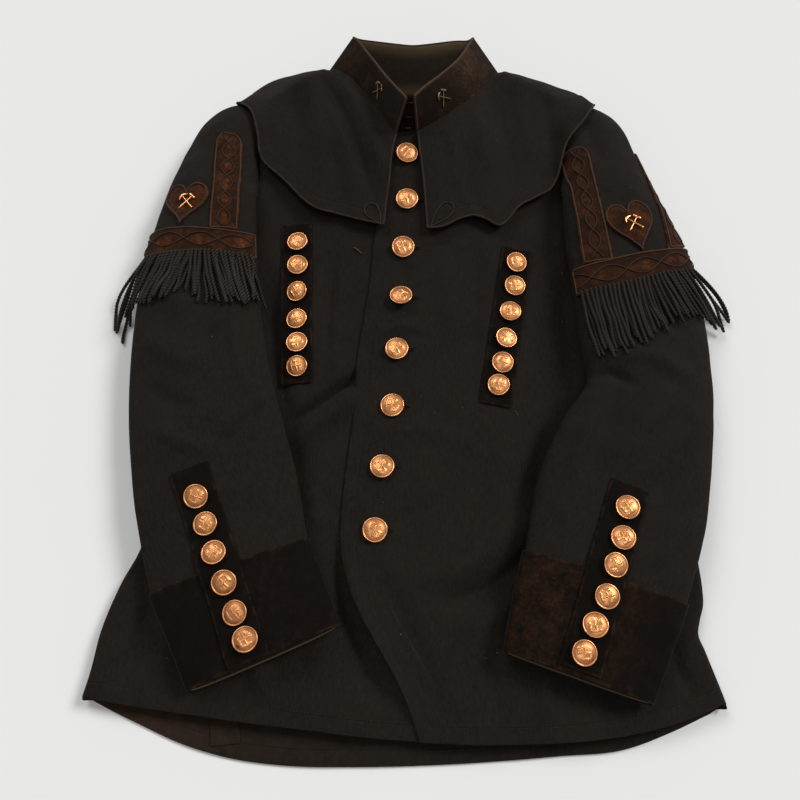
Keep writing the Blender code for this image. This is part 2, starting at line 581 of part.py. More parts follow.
def cape_front_sheet(side, trees):
    """One front lobe of the cape, lying on the front and the sleeve head, rolled down at the shoulder."""
    sign = -1 if side == "right" else 1
    neck = walk(CAPE_TOP[side][:CAPE_NECK_POINTS], np.linspace(0, 1, 8))
    shoulder = walk(CAPE_TOP[side][CAPE_NECK_POINTS - 1:], np.linspace(0, 1, 8))[1:]
    upper = np.concatenate([neck, shoulder])
    reached = np.concatenate([np.linspace(0, 0.52, 8), np.linspace(0.52, 1, 8)[1:]])
    lower = walk(CAPE_HEM[side], reached)
    shares = np.array([0, .03, .08, .15, .28, .46, .64, .82, 1])
    place = ruled(upper, lower, shares)
    edge = walk(CAPE_EDGE[side], shares)
    number = np.arange(len(upper))
    place += (edge - place[:, 0])[:, None] * np.exp(-number / 2.0)[None, :, None]
    x, y = place[..., 0], place[..., 1]
    seam_z = CLOTH / 2 + SIDE_FOLD + SEAM
    height = np.maximum(relax(heights_on(trees, x, y, 9.0), 4) + REST + CLOTH / 2, seam_z)
    from_fold = np.linalg.norm(place - place[0], axis=-1)
    beyond_neck = ease(6.2, 8.0, number)
    round_down = np.sqrt(1 - (1 - np.clip(from_fold / SHOULDER_ROLL, 0, 1)) ** 2)
    rolled = seam_z + (height - seam_z) * round_down
    z = height + (rolled - height) * beyond_neck[None, :]
    return Sheet(np.stack([x, y, z], axis=-1)).level(np.s_[0], np.s_[4], 1, beyond_neck)


def cape_back_sheet():
    """The cape's back, flat on the ground under the body and turned up at the shoulder folds."""
    right = walk(CAPE_TOP["right"][CAPE_NECK_POINTS - 1:], np.linspace(1, 0, 8))
    neck = walk(CAPE_BACK_NECK, np.linspace(0, 1, 7))
    left = walk(CAPE_TOP["left"][CAPE_NECK_POINTS - 1:], np.linspace(0, 1, 8))
    upper = np.concatenate([right, neck[1:-1], left])
    hem = CAPE_HEM["right"][:1:-1] + CAPE_BACK_HEM + CAPE_HEM["left"][3:]
    lower = walk(hem, np.linspace(0, 1, len(upper)))
    shares = np.array([0, .015, .035, .07, .35, .68, 1])
    place = ruled(upper, lower, shares)
    from_fold = np.linalg.norm(place - place[0], axis=-1)
    number = np.arange(len(upper))
    shoulder = np.maximum(1 - ease(5.5, 7.5, number), ease(len(upper) - 8.5, len(upper) - 6.5, number))
    turn = np.clip(1 - from_fold / SIDE_FOLD, 0, 1)
    lift = SIDE_FOLD * (1 - np.sqrt(1 - turn ** 2)) * shoulder[None, :]
    sheet = Sheet(np.concatenate([place, (CLOTH / 2 + lift)[..., None]], axis=-1))
    return sheet.level(np.s_[0], np.s_[4], -1, shoulder)


def collar_sheet():
    """Stand collar: straight lines from the neck seam to the upper edge, hoop by hoop."""
    place = np.linspace(0, len(COLLAR) - 1, 41)
    low = np.stack([along(COLLAR, place, name) for name in ("low_x", "low_y", "low_z")], axis=-1)
    top = np.stack([along(COLLAR, place, name) for name in ("top_x", "top_y", "top_z")], axis=-1)
    shares = np.linspace(0, 1, 4)[:, None, None]
    return Sheet(low[None] * (1 - shares) + top[None] * shares)


def strip_places(row, rows, columns=4):
    """Grid of places over a straight strip, from its top to its foot."""
    start = np.array([row.top_x, row.top_y], float)
    run = np.array([row.foot_x, row.foot_y], float) - start
    side = np.array([-run[1], run[0]]) / np.linalg.norm(run)
    down = np.linspace(0, 1, rows)[:, None, None]
    across = np.linspace(-0.5, 0.5, columns)[None, :, None]
    return start + run * down + side * across * row.width


def sleeve_trim(side, sheet, place, gap, cuff_from=None):
    """Sheet of a trim that lies on the sleeve at these places, stepping up on to the cuff."""
    row, column = on_sleeve(side, place[..., 0], place[..., 1])
    lift = CLOTH / 2 + gap + TRIM / 2
    if cuff_from is not None:
        lift = lift + (CUFF_CLOTH + SEAM) * ease(cuff_from - 1.6, cuff_from - 1.15, row)
    return Sheet(sheet.at(row, column, np.zeros_like(row) + lift))


def arm_band_sheet(side, sheet):
    """The ribbon band, between its upper and lower edge, on the sleeve's own columns."""
    columns = np.arange(6, len(SLEEVE_ANGLES) - 1)
    upper = walk(BAND_UPPER[side], np.linspace(0, 1, 14))
    lower = walk(BAND_LOWER[side], np.linspace(0, 1, 14))
    rows_up = on_sleeve(side, upper[:, 0], upper[:, 1])
    rows_low = on_sleeve(side, lower[:, 0], lower[:, 1])
    order = np.argsort(rows_up[1])
    top_row = np.interp(columns, rows_up[1][order], rows_up[0][order])
    order = np.argsort(rows_low[1])
    low_row = np.interp(columns, rows_low[1][order], rows_low[0][order])
    shares = np.linspace(0, 1, 4)[:, None]
    row = top_row[None] * (1 - shares) + low_row[None] * shares
    column = np.broadcast_to(columns[None], row.shape)
    return Sheet(sheet.at(row, column, np.full_like(row, CLOTH / 2 + ON_CLOTH + TRIM / 2)))


def tab_sheet(tab, sheet):
    """Upright ribbon tab with a round top."""
    place = strip_places(tab, 13, 6)
    middle = place.mean(axis=1, keepdims=True)
    run = np.linalg.norm(middle - middle[:1], axis=-1, keepdims=True)
    start = 1 - np.clip(run / (tab.width / 2), 0, 1)
    narrow = np.maximum(np.sqrt(1 - start ** 2), 0.3)
    return sleeve_trim(tab.side, sheet, middle + (place - middle) * narrow, ON_CLOTH)


def edge_tab_sheet(tab, sheet):
    """The tab that runs down the sleeve's outer edge, on the sleeve's rounded side."""
    down = np.linspace(0, 1, 12)[:, None]
    across = np.linspace(0, 1, 7)[None, :]
    round_top = np.maximum(np.sqrt(1 - (1 - np.clip(down / 0.1, 0, 1)) ** 2), 0.3)
    start = tab.top_column + (tab.foot_column - tab.top_column) * down ** 1.3
    column = start + EDGE_TAB_COLUMNS * (0.5 + (across - 0.5) * round_top)
    outer_y = [Knot(-row.outer_y, i) for i, row in enumerate(SLEEVE[tab.side][:8])]
    station = straight(-(tab.top_y + (tab.foot_y - tab.top_y) * down), outer_y)
    rows = sleeve_rows(tab.side)
    row = np.interp(station, rows, np.arange(len(rows))) + np.zeros_like(column)
    return Sheet(sheet.at(row, column, np.full_like(row, CLOTH / 2 + ON_CLOTH + 0.2 + TRIM / 2)))


def heart_outline(count):
    """Heart of unit width and height round (0, 0), as a parametric curve."""
    t = np.linspace(0, 2 * math.pi, count, endpoint=False)
    x = 16 * np.sin(t) ** 3
    y = 13 * np.cos(t) - 5 * np.cos(2 * t) - 2 * np.cos(3 * t) - np.cos(4 * t)
    return np.stack([x / 32.0, (y + 2.5) / 29.0], axis=-1)


def plate(name, outline, centre, place_at, low, high, dome, finish):
    """Closed plate from an outline shrunk towards its centre in rings, its two faces low and high."""
    rings = [0.35, 0.7, 1.0]
    count = len(outline)
    layers = []
    for lift, rise in ((high, dome), (low, 0.0)):
        spots = [centre[None]] + [centre + (outline - centre) * share for share in rings]
        rises = [np.full(1, rise)] + [np.full(count, rise * (1 - share ** 2)) for share in rings]
        layers.append(place_at(np.concatenate(spots), lift + np.concatenate(rises)))
    total = len(layers[0])
    ring = np.arange(count)
    after = np.roll(ring, -1)
    faces = []
    for base, turn in ((0, 1), (total, -1)):
        fan = np.stack([np.full(count, base), base + 1 + ring, base + 1 + after], axis=-1)
        faces += fan[:, ::turn].tolist()
        for k in range(len(rings) - 1):
            inner = base + 1 + k * count
            outer = inner + count
            quads = np.stack([inner + ring, outer + ring, outer + after, inner + after], axis=-1)
            faces += quads[:, ::turn].tolist()
    last = 1 + (len(rings) - 1) * count
    rim = np.stack([last + ring, total + last + ring, total + last + after, last + after], axis=-1)
    faces += rim.tolist()
    return add_piece(name, np.concatenate(layers), faces, finish)


def frame_at(trees, x, y, reach):
    """Resting height and unit normal for a small disc on the surface at (x, y)."""
    slope_x = (height_on(trees, x + reach, y) - height_on(trees, x - reach, y)) / (2 * reach)
    slope_y = (height_on(trees, x, y + reach) - height_on(trees, x, y - reach)) / (2 * reach)
    normal = Vector((-slope_x, -slope_y, 1)).normalized()
    rises = []
    for k in range(12):
        angle = math.tau * k / 12
        dx, dy = reach * math.cos(angle), reach * math.sin(angle)
        rises.append(height_on(trees, x + dx, y + dy) - slope_x * dx - slope_y * dy)
    rises.append(height_on(trees, x, y))
    return max(rises), normal


def button(name, trees, x, y, radius, finish):
    """Domed two-piece button: a flat back, a rolled rim and a shallow dome, turned about its own axis."""
    base, normal = frame_at(trees, x, y, radius * 0.8)
    profile = [(0.8 * radius, 0.0), (radius, 0.9), (radius, 2.0), (0.62 * radius, BUTTON_HEIGHT - 0.9)]
    sides = 10
    turn = normal.to_track_quat("Z", "Y").to_matrix()
    points = []
    for ring, height in profile:
        for k in range(sides):
            angle = math.tau * k / sides
            points.append(turn @ Vector((ring * math.cos(angle), ring * math.sin(angle), height + SEAM)))
    points.append(turn @ Vector((0, 0, SEAM)))
    points.append(turn @ Vector((0, 0, BUTTON_HEIGHT + SEAM)))
    points = np.array([tuple(p) for p in points]) + [x, y, base]
    ring = np.arange(sides)
    after = np.roll(ring, -1)
    faces = []
    for k in range(len(profile) - 1):
        faces += np.stack([k * sides + ring, k * sides + after, (k + 1) * sides + after,
                           (k + 1) * sides + ring], axis=-1).tolist()
    last = (len(profile) - 1) * sides
    low, high = len(points) - 2, len(points) - 1
    faces += np.stack([after, ring, np.full(sides, low)], axis=-1).tolist()
    faces += np.stack([last + ring, last + after, np.full(sides, high)], axis=-1).tolist()
    return add_piece(name, points, faces, finish)


def tool_outline(kind):
    """One tool, handle down and head up, within a unit square: a hammer's block or a pick's two points."""
    handle = [(-0.045, -0.5), (0.045, -0.5), (0.045, 0.26)]
    if kind == "hammer":
        head = [(0.25, 0.26), (0.25, 0.46), (-0.25, 0.46), (-0.25, 0.26)]
    else:
        head = [(0.3, 0.22), (0.12, 0.46), (-0.12, 0.46), (-0.3, 0.22)]
    return handle + head + [(-0.045, 0.26)]


def emblem(name, spot, right, up, size, finish):
    """Crossed hammer and pick, two flat tools joined into one solid where they cross."""
    out = right.cross(up).normalized()
    pieces = []
    for kind, tilt in (("hammer", 42.0), ("pick", -42.0)):
        turn = math.radians(tilt)
        points = []
        for level in (SEAM, SEAM + 1.0):
            for a, b in tool_outline(kind):
                x = a * math.cos(turn) + b * math.sin(turn)
                y = b * math.cos(turn) - a * math.sin(turn)
                points.append(tuple(spot + right * x * size + up * y * size + out * level))
        count = len(points) // 2
        ring = list(range(count))
        faces = [ring[::-1], [count + k for k in ring]]
        faces += [[k, (k + 1) % count, count + (k + 1) % count, count + k] for k in ring]
        pieces.append(add_piece(name if not pieces else name + "_guide", points, faces, finish))
    tool, other = pieces
    other.hide_render = True
    other.display_type = "WIRE"
    join = tool.modifiers.new("cross", "BOOLEAN")
    join.operation = "UNION"
    join.solver = "EXACT"
    join.object = other
    return tool


def fringe(name, side, sheet, tree, finish):
    """Backing strip under the band's lower edge, with four-sided strands drawn out of its lower side."""
    sections = 2 * FRINGE_STRANDS + 1
    line = walk(BAND_LOWER[side], np.linspace(0.0, 0.985, sections + 1))
    points = []
    faces = []
    strip_height = 2.2
    for x, y in line:
        for dy, lift in ((-1.4, 0.5), (-1.4, 1.8), (-1.4 - strip_height, 0.5), (-1.4 - strip_height, 1.8)):
            row, column = on_sleeve(side, np.array([x]), np.array([y + dy]))
            points.append(sheet.at(row, column, np.array([CLOTH / 2 + lift]))[0])
    for k in range(sections):
        a, b = 4 * k, 4 * k + 4
        faces += [[a, a + 1, b + 1, b], [a + 1, a + 3, b + 3, b + 1], [a, b, b + 2, a + 2]]
        if k % 2 == 0:
            faces.append([a + 3, a + 2, b + 2, b + 3])
    faces += [[0, 2, 3, 1], [4 * sections, 4 * sections + 1, 4 * sections + 3, 4 * sections + 2]]
    for k in range(1, sections, 2):
        start = [4 * k + 3, 4 * k + 2, 4 * k + 6, 4 * k + 7]
        strand = k // 2
        ends = strand_path(side, tree, line[k], line[k + 1], strand)
        previous = start
        for section in ends:
            first = len(points)
            points += list(section)
            current = [first, first + 1, first + 2, first + 3]
            faces += [[previous[i], previous[(i + 1) % 4], current[(i + 1) % 4], current[i]] for i in range(4)]
            previous = current
        faces.append(previous)
    return add_piece(name, points, faces, finish)


def strand_path(side, tree, start, stop, strand):
    """Four-sided sections down one strand, on the sleeve or hanging past its outer edge."""
    middle = (start + stop) / 2
    sign = -1 if side == "right" else 1
    share = strand / (FRINGE_STRANDS - 1)
    outward = 1 - share
    length = FRINGE_LENGTH * (0.93 + 0.07 * math.sin(2.4 * strand))
    lean = sign * (4 + 20 * max(0.0, outward - 0.72) / 0.28) - 1.5 * math.sin(1.7 * strand) * outward
    sections = []
    resting = 0.0
    for step in range(1, STRAND_STEPS + 1):
        t = step / STRAND_STEPS
        x = middle[0] + lean * t ** 1.4 - sign * 2.0 * share * t
        y = middle[1] - 3.2 - length * t
        under = float(heights_on([tree], np.array([x]), np.array([y]), STRAND_REACH)[0])
        resting = under + ON_CLOTH if under > 0 else resting - STRAND_DROOP
        base = np.array([x, y, resting])
        half = STRAND_WIDTH / 2 * (1.0 if step < STRAND_STEPS else 0.75)
        sections.append([base + [sign * half, 0, STRAND_WIDTH], base + [sign * half, 0, 0],
                         base + [-sign * half, 0, 0], base + [-sign * half, 0, STRAND_WIDTH]])
    return sections


def clear_scene():
    for piece in list(bpy.data.objects):
        bpy.data.objects.remove(piece, do_unlink=True)


def build():
    wool = material("wool cloth", (0.017, 0.014, 0.012), 0.9)
    velvet = material("brown velvet", (0.024, 0.012, 0.008), 0.85)
    ribbon = material("rubbed ribbon", (0.075, 0.027, 0.014), 0.8)
    cord = material("black cord", (0.012, 0.011, 0.010), 0.7)
    copper = material("coppered brass", (0.75, 0.38, 0.2), 0.3, 1.0)

    wall("back", back_sheet(), CLOTH, wool)
    fronts = {side: wall("front_" + side, front_sheet(side), CLOTH, wool) for side in ("right", "left")}
    on_front = [tree_of(piece) for piece in fronts.values()]

    sleeves = {}
    trees = {}
    for side in ("right", "left"):
        sheet = sleeve_sheet(side, on_front)
        sleeves[side] = sheet
        piece = wall("sleeve_" + side, sheet, CLOTH, wool)
        rows = sleeve_rows(side)
        cuff_row = int(np.searchsorted(rows, CUFF_START[side] - 1e-6))
        cuff = Sheet((sheet.points + sheet.normals * (CLOTH / 2 + SEAM + CUFF_CLOTH / 2))[cuff_row:])
        cuff_piece = wall("cuff_" + side, cuff, CUFF_CLOTH, velvet)
        trees[side] = [tree_of(piece), tree_of(cuff_piece)]
        wall("arm_band_" + side, arm_band_sheet(side, sheet), TRIM, ribbon)
        fringe("fringe_" + side, side, sheet, trees[side][0], cord)

    for tab in TABS:
        wall(tab.name, tab_sheet(tab, sleeves[tab.side]), TRIM, ribbon)
    wall(EDGE_TAB.name, edge_tab_sheet(EDGE_TAB, sleeves[EDGE_TAB.side]), TRIM, ribbon)

    for heart in HEARTS:
        turn = math.radians(heart.turn)
        shape = heart_outline(26) * [heart.width, heart.height]
        spin = np.array([[math.cos(turn), math.sin(turn)], [-math.sin(turn), math.cos(turn)]])
        centre = np.array([heart.x, heart.y], float)
        outline = shape @ spin + centre

        def place_at(spots, lifts, side=heart.side):
            row, column = on_sleeve(side, spots[:, 0], spots[:, 1])
            return sleeves[side].at(row, column, CLOTH / 2 + lifts)

        piece = plate("heart_" + heart.side, outline, centre, place_at, REST, REST + TRIM, 1.2, velvet)
        base, normal = frame_at([tree_of(piece)], heart.x, heart.y + 2, 8.0)
        right = Vector((math.cos(turn), -math.sin(turn), 0))
        right = (right - normal * right.dot(normal)).normalized()
        emblem("heart_emblem_" + heart.side, Vector((heart.x, heart.y + 2, base)), right,
               normal.cross(right), 19.0, copper)

    for row in CHEST_STRIPS:
        place = strip_places(row, 17, 6)
        height = heights_on(on_front, place[..., 0], place[..., 1], 6.0) + STRIP_GAP[row.side] + TRIM / 2
        piece = wall("chest_strip_" + row.side, Sheet(np.concatenate([place, height[..., None]], axis=-1)),
                     TRIM, velvet)
        trees["chest_" + row.side] = [tree_of(piece)]
    for row in CUFF_STRIPS:
        rows = sleeve_rows(row.side)
        cuff_row = float(np.searchsorted(rows, CUFF_START[row.side] - 1e-6))
        sheet = sleeve_trim(row.side, sleeves[row.side], strip_places(row, 13, 5), ON_CLOTH, cuff_row)
        piece = wall("cuff_strip_" + row.side, sheet, TRIM, velvet)
        trees["cuff_" + row.side] = [tree_of(piece)]

    for side in ("right", "left"):
        wall("cape_" + side, cape_front_sheet(side, on_front + trees[side][:1]), CLOTH, wool)
    wall("cape_back", cape_back_sheet(), CLOTH, wool)
    collar = collar_sheet()
    wall("collar", collar, COLLAR_CLOTH, velvet)
    for name, column in (("collar_badge_right", 3.2), ("collar_badge_left", 36.7)):
        spot = collar.at(np.array([1.4]), np.array([column]), np.array([COLLAR_CLOTH / 2]))[0]
        up = Vector(collar.at(np.array([2.4]), np.array([column]))[0]
                    - collar.at(np.array([0.4]), np.array([column]))[0]).normalized()
        normal = Vector(spot - collar.at(np.array([1.4]), np.array([column]))[0]).normalized()
        emblem(name, Vector(spot), up.cross(normal).normalized(), up, 14.0, copper)

    for number, place in enumerate(FRONT_BUTTONS, start=1):
        button(f"front_button_{number}", on_front, place.x, place.y, BUTTON_RADIUS, copper)
    for row in BUTTON_ROWS:
        part, _, side = row.name.split("_")
        for number in range(BUTTONS_IN_A_ROW):
            t = number / (BUTTONS_IN_A_ROW - 1)
            button(f"{row.name}_{number + 1}", trees[f"{part}_{side}"], row.x0 + (row.x1 - row.x0) * t,
                   row.y0 + (row.y1 - row.y0) * t, CHEST_BUTTON_RADIUS, copper)


clear_scene()
build()
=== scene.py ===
# %% [markdown]
# # A miner's dress tunic, laid flat
#
# The tunic lies on its back with its sleeves folded down over the fronts. It is black wool cloth with velvet
# collar and cuffs, velvet ribbon on the arms, a cord fringe and rows of coppery buttons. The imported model
# gives the size and place of every piece. Here each piece is made again as a fine surface, and gets its
# finish.

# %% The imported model
import math
from collections import namedtuple

import bpy
import numpy as np
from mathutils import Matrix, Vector


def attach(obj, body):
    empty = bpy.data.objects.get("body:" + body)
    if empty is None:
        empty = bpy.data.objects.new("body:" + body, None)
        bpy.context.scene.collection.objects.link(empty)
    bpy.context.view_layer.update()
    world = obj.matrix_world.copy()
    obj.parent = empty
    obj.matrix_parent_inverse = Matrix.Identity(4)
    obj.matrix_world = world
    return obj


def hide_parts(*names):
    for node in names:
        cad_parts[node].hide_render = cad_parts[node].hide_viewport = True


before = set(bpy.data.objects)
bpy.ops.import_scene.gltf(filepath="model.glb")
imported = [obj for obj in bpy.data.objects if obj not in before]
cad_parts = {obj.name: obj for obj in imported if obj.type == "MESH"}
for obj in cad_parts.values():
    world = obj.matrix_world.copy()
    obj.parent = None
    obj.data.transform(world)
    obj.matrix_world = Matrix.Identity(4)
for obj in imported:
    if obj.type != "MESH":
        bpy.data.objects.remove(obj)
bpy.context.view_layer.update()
print("pieces in the packed model:", len(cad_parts))

# %% [markdown]
# ## Measures
#
# A tailor works from a table of measures, and so does this lesson. Lengths are millimetres on the table that
# the tunic lies on: X runs to the wearer's left, Y from hem to collar and Z up. Right and left are the
# wearer's, so right lies at negative X. Meshes are turned to metres at the very end, when a piece is made.

# %% Cloth and its measures
MILLIMETRE = 0.001
ORIGIN = (-2.1, -2.7)                # the middle of the tunic's footprint
CLOTH = 2.0                          # wool with its lining
COLLAR_CLOTH = 2.4
CUFF_CLOTH = 1.6
TRIM = 1.2                           # velvet strips, ribbon and hearts
SEAM = 0.3                           # gap that stands for a seam
ON_CLOTH = 0.5                       # gap under a trim that is sewn on
REST = 0.8                           # gap under cloth that only lies on other cloth
SIDE_FOLD = 6.0                      # radius of the body's side fold
SHOULDER_ROLL = 13.0                 # radius at the shoulder folds
FAR = 60.0                           # a distance to a free edge past which nothing is worn
OVERLAP = 28.0                       # how far the right front runs under the left one
FRONT_STEP = CLOTH + 0.6             # how far it lies below the left one there
SIDES = ("right", "left")

Knot = namedtuple("Knot", "at value")
Place = namedtuple("Place", "x y")
Station = namedtuple("Station", "inner_x inner_y outer_x outer_y top")
Hoop = namedtuple("Hoop", "low_x low_y low_z top_x top_y top_z")
Fold = namedtuple("Fold", "places width height lean", defaults=[1.0])


def knots_at(*pairs):
    """Knots from pairs: where, and the value there."""
    return [Knot(*pair) for pair in pairs]


def places_at(*pairs):
    """Places from pairs of x and y."""
    return [Place(*pair) for pair in pairs]


print("cloth:", CLOTH, "mm thick, seams:", SEAM, "mm")

# %% [markdown]
# ### The body
#
# The body's outline is a set of curves: the side folds and armholes give x at each height y, the hems and
# shoulder seams give y at each x. The fronts are highest along the buttons, where the collar holds them up.

# %% Outline and height of the body
SIDE = {
    "right": knots_at(
        (-310, -282), (-292, -278), (-254, -272.5), (-214, -259.5), (-191, -249), (-140, -243),
        (-80, -239), (0, -240), (60, -243), (100, -242), (120, -236), (132, -222), (145, -202),
        (156, -186), (166, -175), (176, -169.5), (186, -167),
    ),
    "left": knots_at(
        (-318, 249), (-307, 246), (-295, 242.5), (-283, 239), (-271, 235.5), (-260, 232), (-247, 235),
        (-235, 239.4), (-222, 240.5), (-200, 240), (-140, 236), (-80, 232), (0, 230), (60, 232),
        (100, 232), (120, 226), (132, 210), (145, 187), (156, 168), (166, 156), (176, 150), (186, 147),
    ),
}
ARMHOLE_FOOT = 186.0                 # y at which the side seam meets the sleeve
BACK_HEM = knots_at(
    (-283, -306), (-260, -317), (-232, -329), (-203, -341), (-160, -353), (-112, -359), (-60, -360),
    (21, -358), (109, -352), (163, -347), (200, -335), (229, -323), (240, -318), (248, -311.5),
)
FRONT_HEM = {
    "right": knots_at(
        (-281, -306.5), (-262, -310), (-227, -315.5), (-182, -321.5), (-149, -326), (-100, -331.5),
        (-52, -337), (-8, -340.5), (24, -342),
    ),
    "left": knots_at(
        (-12, -341), (2, -341.5), (56, -343), (96, -342), (136, -339.5), (177, -333.5), (210, -325),
        (236, -315.5), (247, -310.5),
    ),
}
BACK_TOP = knots_at((-168, 284), (-97, 318), (-60, 313), (-6, 311), (48, 313), (85, 318), (158, 282))
FRONT_TOP = {
    "right": knots_at(
        (-168, 284), (-97, 320), (-85, 312), (-71, 300), (-59, 284), (-50, 269), (-40, 250), (-29, 229),
        (-22, 221), (14, 219),
    ),
    "left": knots_at(
        (-30, 221), (-6, 223), (8, 232), (22, 242), (42, 261), (55, 275), (69, 292), (77, 308), (86, 318),
        (158, 282),
    ),
}
NECK_SIDE = {"right": -97.0, "left": 86.0}
FRONT_EDGE = knots_at(
    (-342, -3), (-321, -10.5), (-305, -17), (-283, -29), (-264, -40.5), (-235, -56.5), (-206, -67),
    (-183, -71), (-144, -70), (-51, -61), (-16, -60), (62, -49), (126, -43), (190, -31), (224, -27),
)
CENTRE_HEIGHT = knots_at(
    (-350, 14.6), (-172, 15.6), (-115, 15.6), (-57, 16.6), (0, 19), (51, 23), (104, 28), (154, 36),
    (203, 45), (228, 48), (262, 47), (290, 43), (335, 36),
)
HILL_REACH = 150.0                   # from the buttons to the foot of the fronts' hill
SIDE_HEIGHT = knots_at((-350, 14.3), (100, 14.3), (150, 16), (200, 20), (250, 22), (300, 20), (335, 18))
FRONT_BUTTONS = places_at(
    (-13, 202), (-13, 154), (-17, 104), (-19, 52), (-23, -1), (-27, -57), (-36, -115), (-42, -172),
)

# %% [markdown]
# ### Sleeves, cape and collar
#
# A sleeve is a row of stations down the arm, each with its inner and outer edge and the height of its top.
# The cape is drawn by its front edge, its scalloped lower edge and its upper edge. The collar is a row of
# hoops.

# %% Stations, edges and hoops
SLEEVE = {
    "right": [Station(-166, 281, -184, 291, 20), Station(-166, 262, -212, 276, 33),
              Station(-167, 240, -231, 250, 39), Station(-167, 205, -248.5, 201, 41),
              Station(-165, 170, -259, 160, 43), Station(-163, 135, -265, 125, 45),
              Station(-160, 100, -270, 92, 45), Station(-154, 45, -273, 28, 45),
              Station(-142, -20, -270, -45, 44), Station(-125, -78, -262, -105, 43),
              Station(-110, -130, -248, -165, 42), Station(-99, -180, -229, -225, 41),
              Station(-85, -217, -209, -264, 40), Station(-71, -253, -190, -303, 38)],
    "left": [Station(160, 279, 179, 290, 20), Station(157, 262, 202, 271, 33),
             Station(152, 240, 217, 245, 39), Station(147, 205, 229, 201, 41),
             Station(144, 170, 240, 165, 43), Station(143, 135, 251, 130, 45),
             Station(143, 100, 263, 95, 45), Station(147, 50, 270, 40, 45),
             Station(150, -8, 270, -25, 44), Station(151, -40, 266, -68, 44),
             Station(128, -72, 258, -116, 43), Station(103, -124, 243, -174, 42),
             Station(86, -191, 219, -235, 41), Station(75, -232, 200, -274, 40),
             Station(65, -273, 181, -313, 38)],
}
CUFF_START = {"right": 11.0, "left": 12.0}    # station at which the velvet begins
SLEEVE_ROUNDNESS = 2.5               # power of the superellipse
OUTER_DROOP = 5.0                    # how much lower a sleeve is at its outer side
CAPE_EDGE = {
    "right": places_at((-24, 221), (-28, 202), (-31, 170), (-34, 148), (-36, 125)),
    "left": places_at((-2, 224), (0, 203), (2, 187), (5, 155), (7, 121)),
}
CAPE_HEM = {
    "right": places_at(
        (-36, 125), (-54, 130), (-81, 140), (-106, 149), (-113, 155), (-140, 186), (-163, 210),
        (-167, 234), (-177, 265), (-193.5, 281),
    ),
    "left": places_at(
        (7, 121), (21, 123), (41, 134), (55, 138), (65, 135), (79, 129), (87, 136), (99, 152), (119, 165),
        (133, 174), (141, 188), (145, 204), (151, 222), (160, 235), (172, 251), (187.5, 281),
    ),
}
CAPE_TOP = {
    "right": places_at(
        (-24, 221), (-31, 232), (-42, 252), (-52, 271), (-62, 286), (-73, 302), (-87, 315), (-99, 328),
        (-126, 336), (-153, 331.5), (-176, 316), (-192.5, 288),
    ),
    "left": places_at(
        (-2, 224), (10, 233), (24, 244), (38, 257), (52, 272), (66, 290), (79, 311), (90, 328),
        (121, 328), (152, 319), (173, 309.5), (187.5, 289),
    ),
}
CAPE_NECK_POINTS = 8                 # this many places of CAPE_TOP run along the neck
CAPE_BACK_NECK = places_at((-99, 328), (-84, 322), (-50, 315), (-6, 313), (40, 315), (74, 321), (90, 328))
CAPE_BACK_HEM = places_at((-54, 130), (-6, 122), (41, 130))
COLLAR = [
    Hoop(-24.5, 223, 49.2, -13.5, 238, 84), Hoop(-41, 253.5, 46.8, -29, 268, 73),
    Hoop(-51, 272.5, 43.6, -37, 285, 67), Hoop(-60.9, 287.5, 40.7, -46, 304, 62),
    Hoop(-71.8, 303.3, 36.8, -55, 322, 57), Hoop(-87, 317.8, 30.8, -64, 341, 52),
    Hoop(-97.5, 327.5, 21, -69.5, 350.5, 47), Hoop(-96, 328.5, 10, -63.5, 351.5, 43),
    Hoop(-84, 322.4, 3.4, -50, 349, 43), Hoop(-50, 316.3, 2.7, -24, 345, 43),
    Hoop(-6, 314.3, 2.7, -6, 343, 43), Hoop(38, 316.3, 2.7, 12, 345, 43),
    Hoop(72, 321.4, 3.4, 38, 349, 43), Hoop(86.5, 326, 10, 52.5, 350, 42.5),
    Hoop(88, 324, 20.5, 58, 349.5, 47), Hoop(78.8, 313.5, 30.3, 54, 339, 52),
    Hoop(65.5, 291.6, 37.4, 44, 315, 59), Hoop(51.5, 273.5, 42.4, 33, 295, 66),
    Hoop(37.5, 258.4, 45.6, 17, 273, 73), Hoop(20.6, 243.2, 48, 4, 256, 79),
    Hoop(-2.6, 227, 49.2, -6.5, 240, 84),
]
# Degrees round a sleeve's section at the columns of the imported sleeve, from one side of its inner edge round
# to the other.
SLEEVE_ANGLES = [-180, -164, -138, -100, -62, -32, -12, 6, 24, 44, 66, 90, 112, 132, 150, 166, 180]
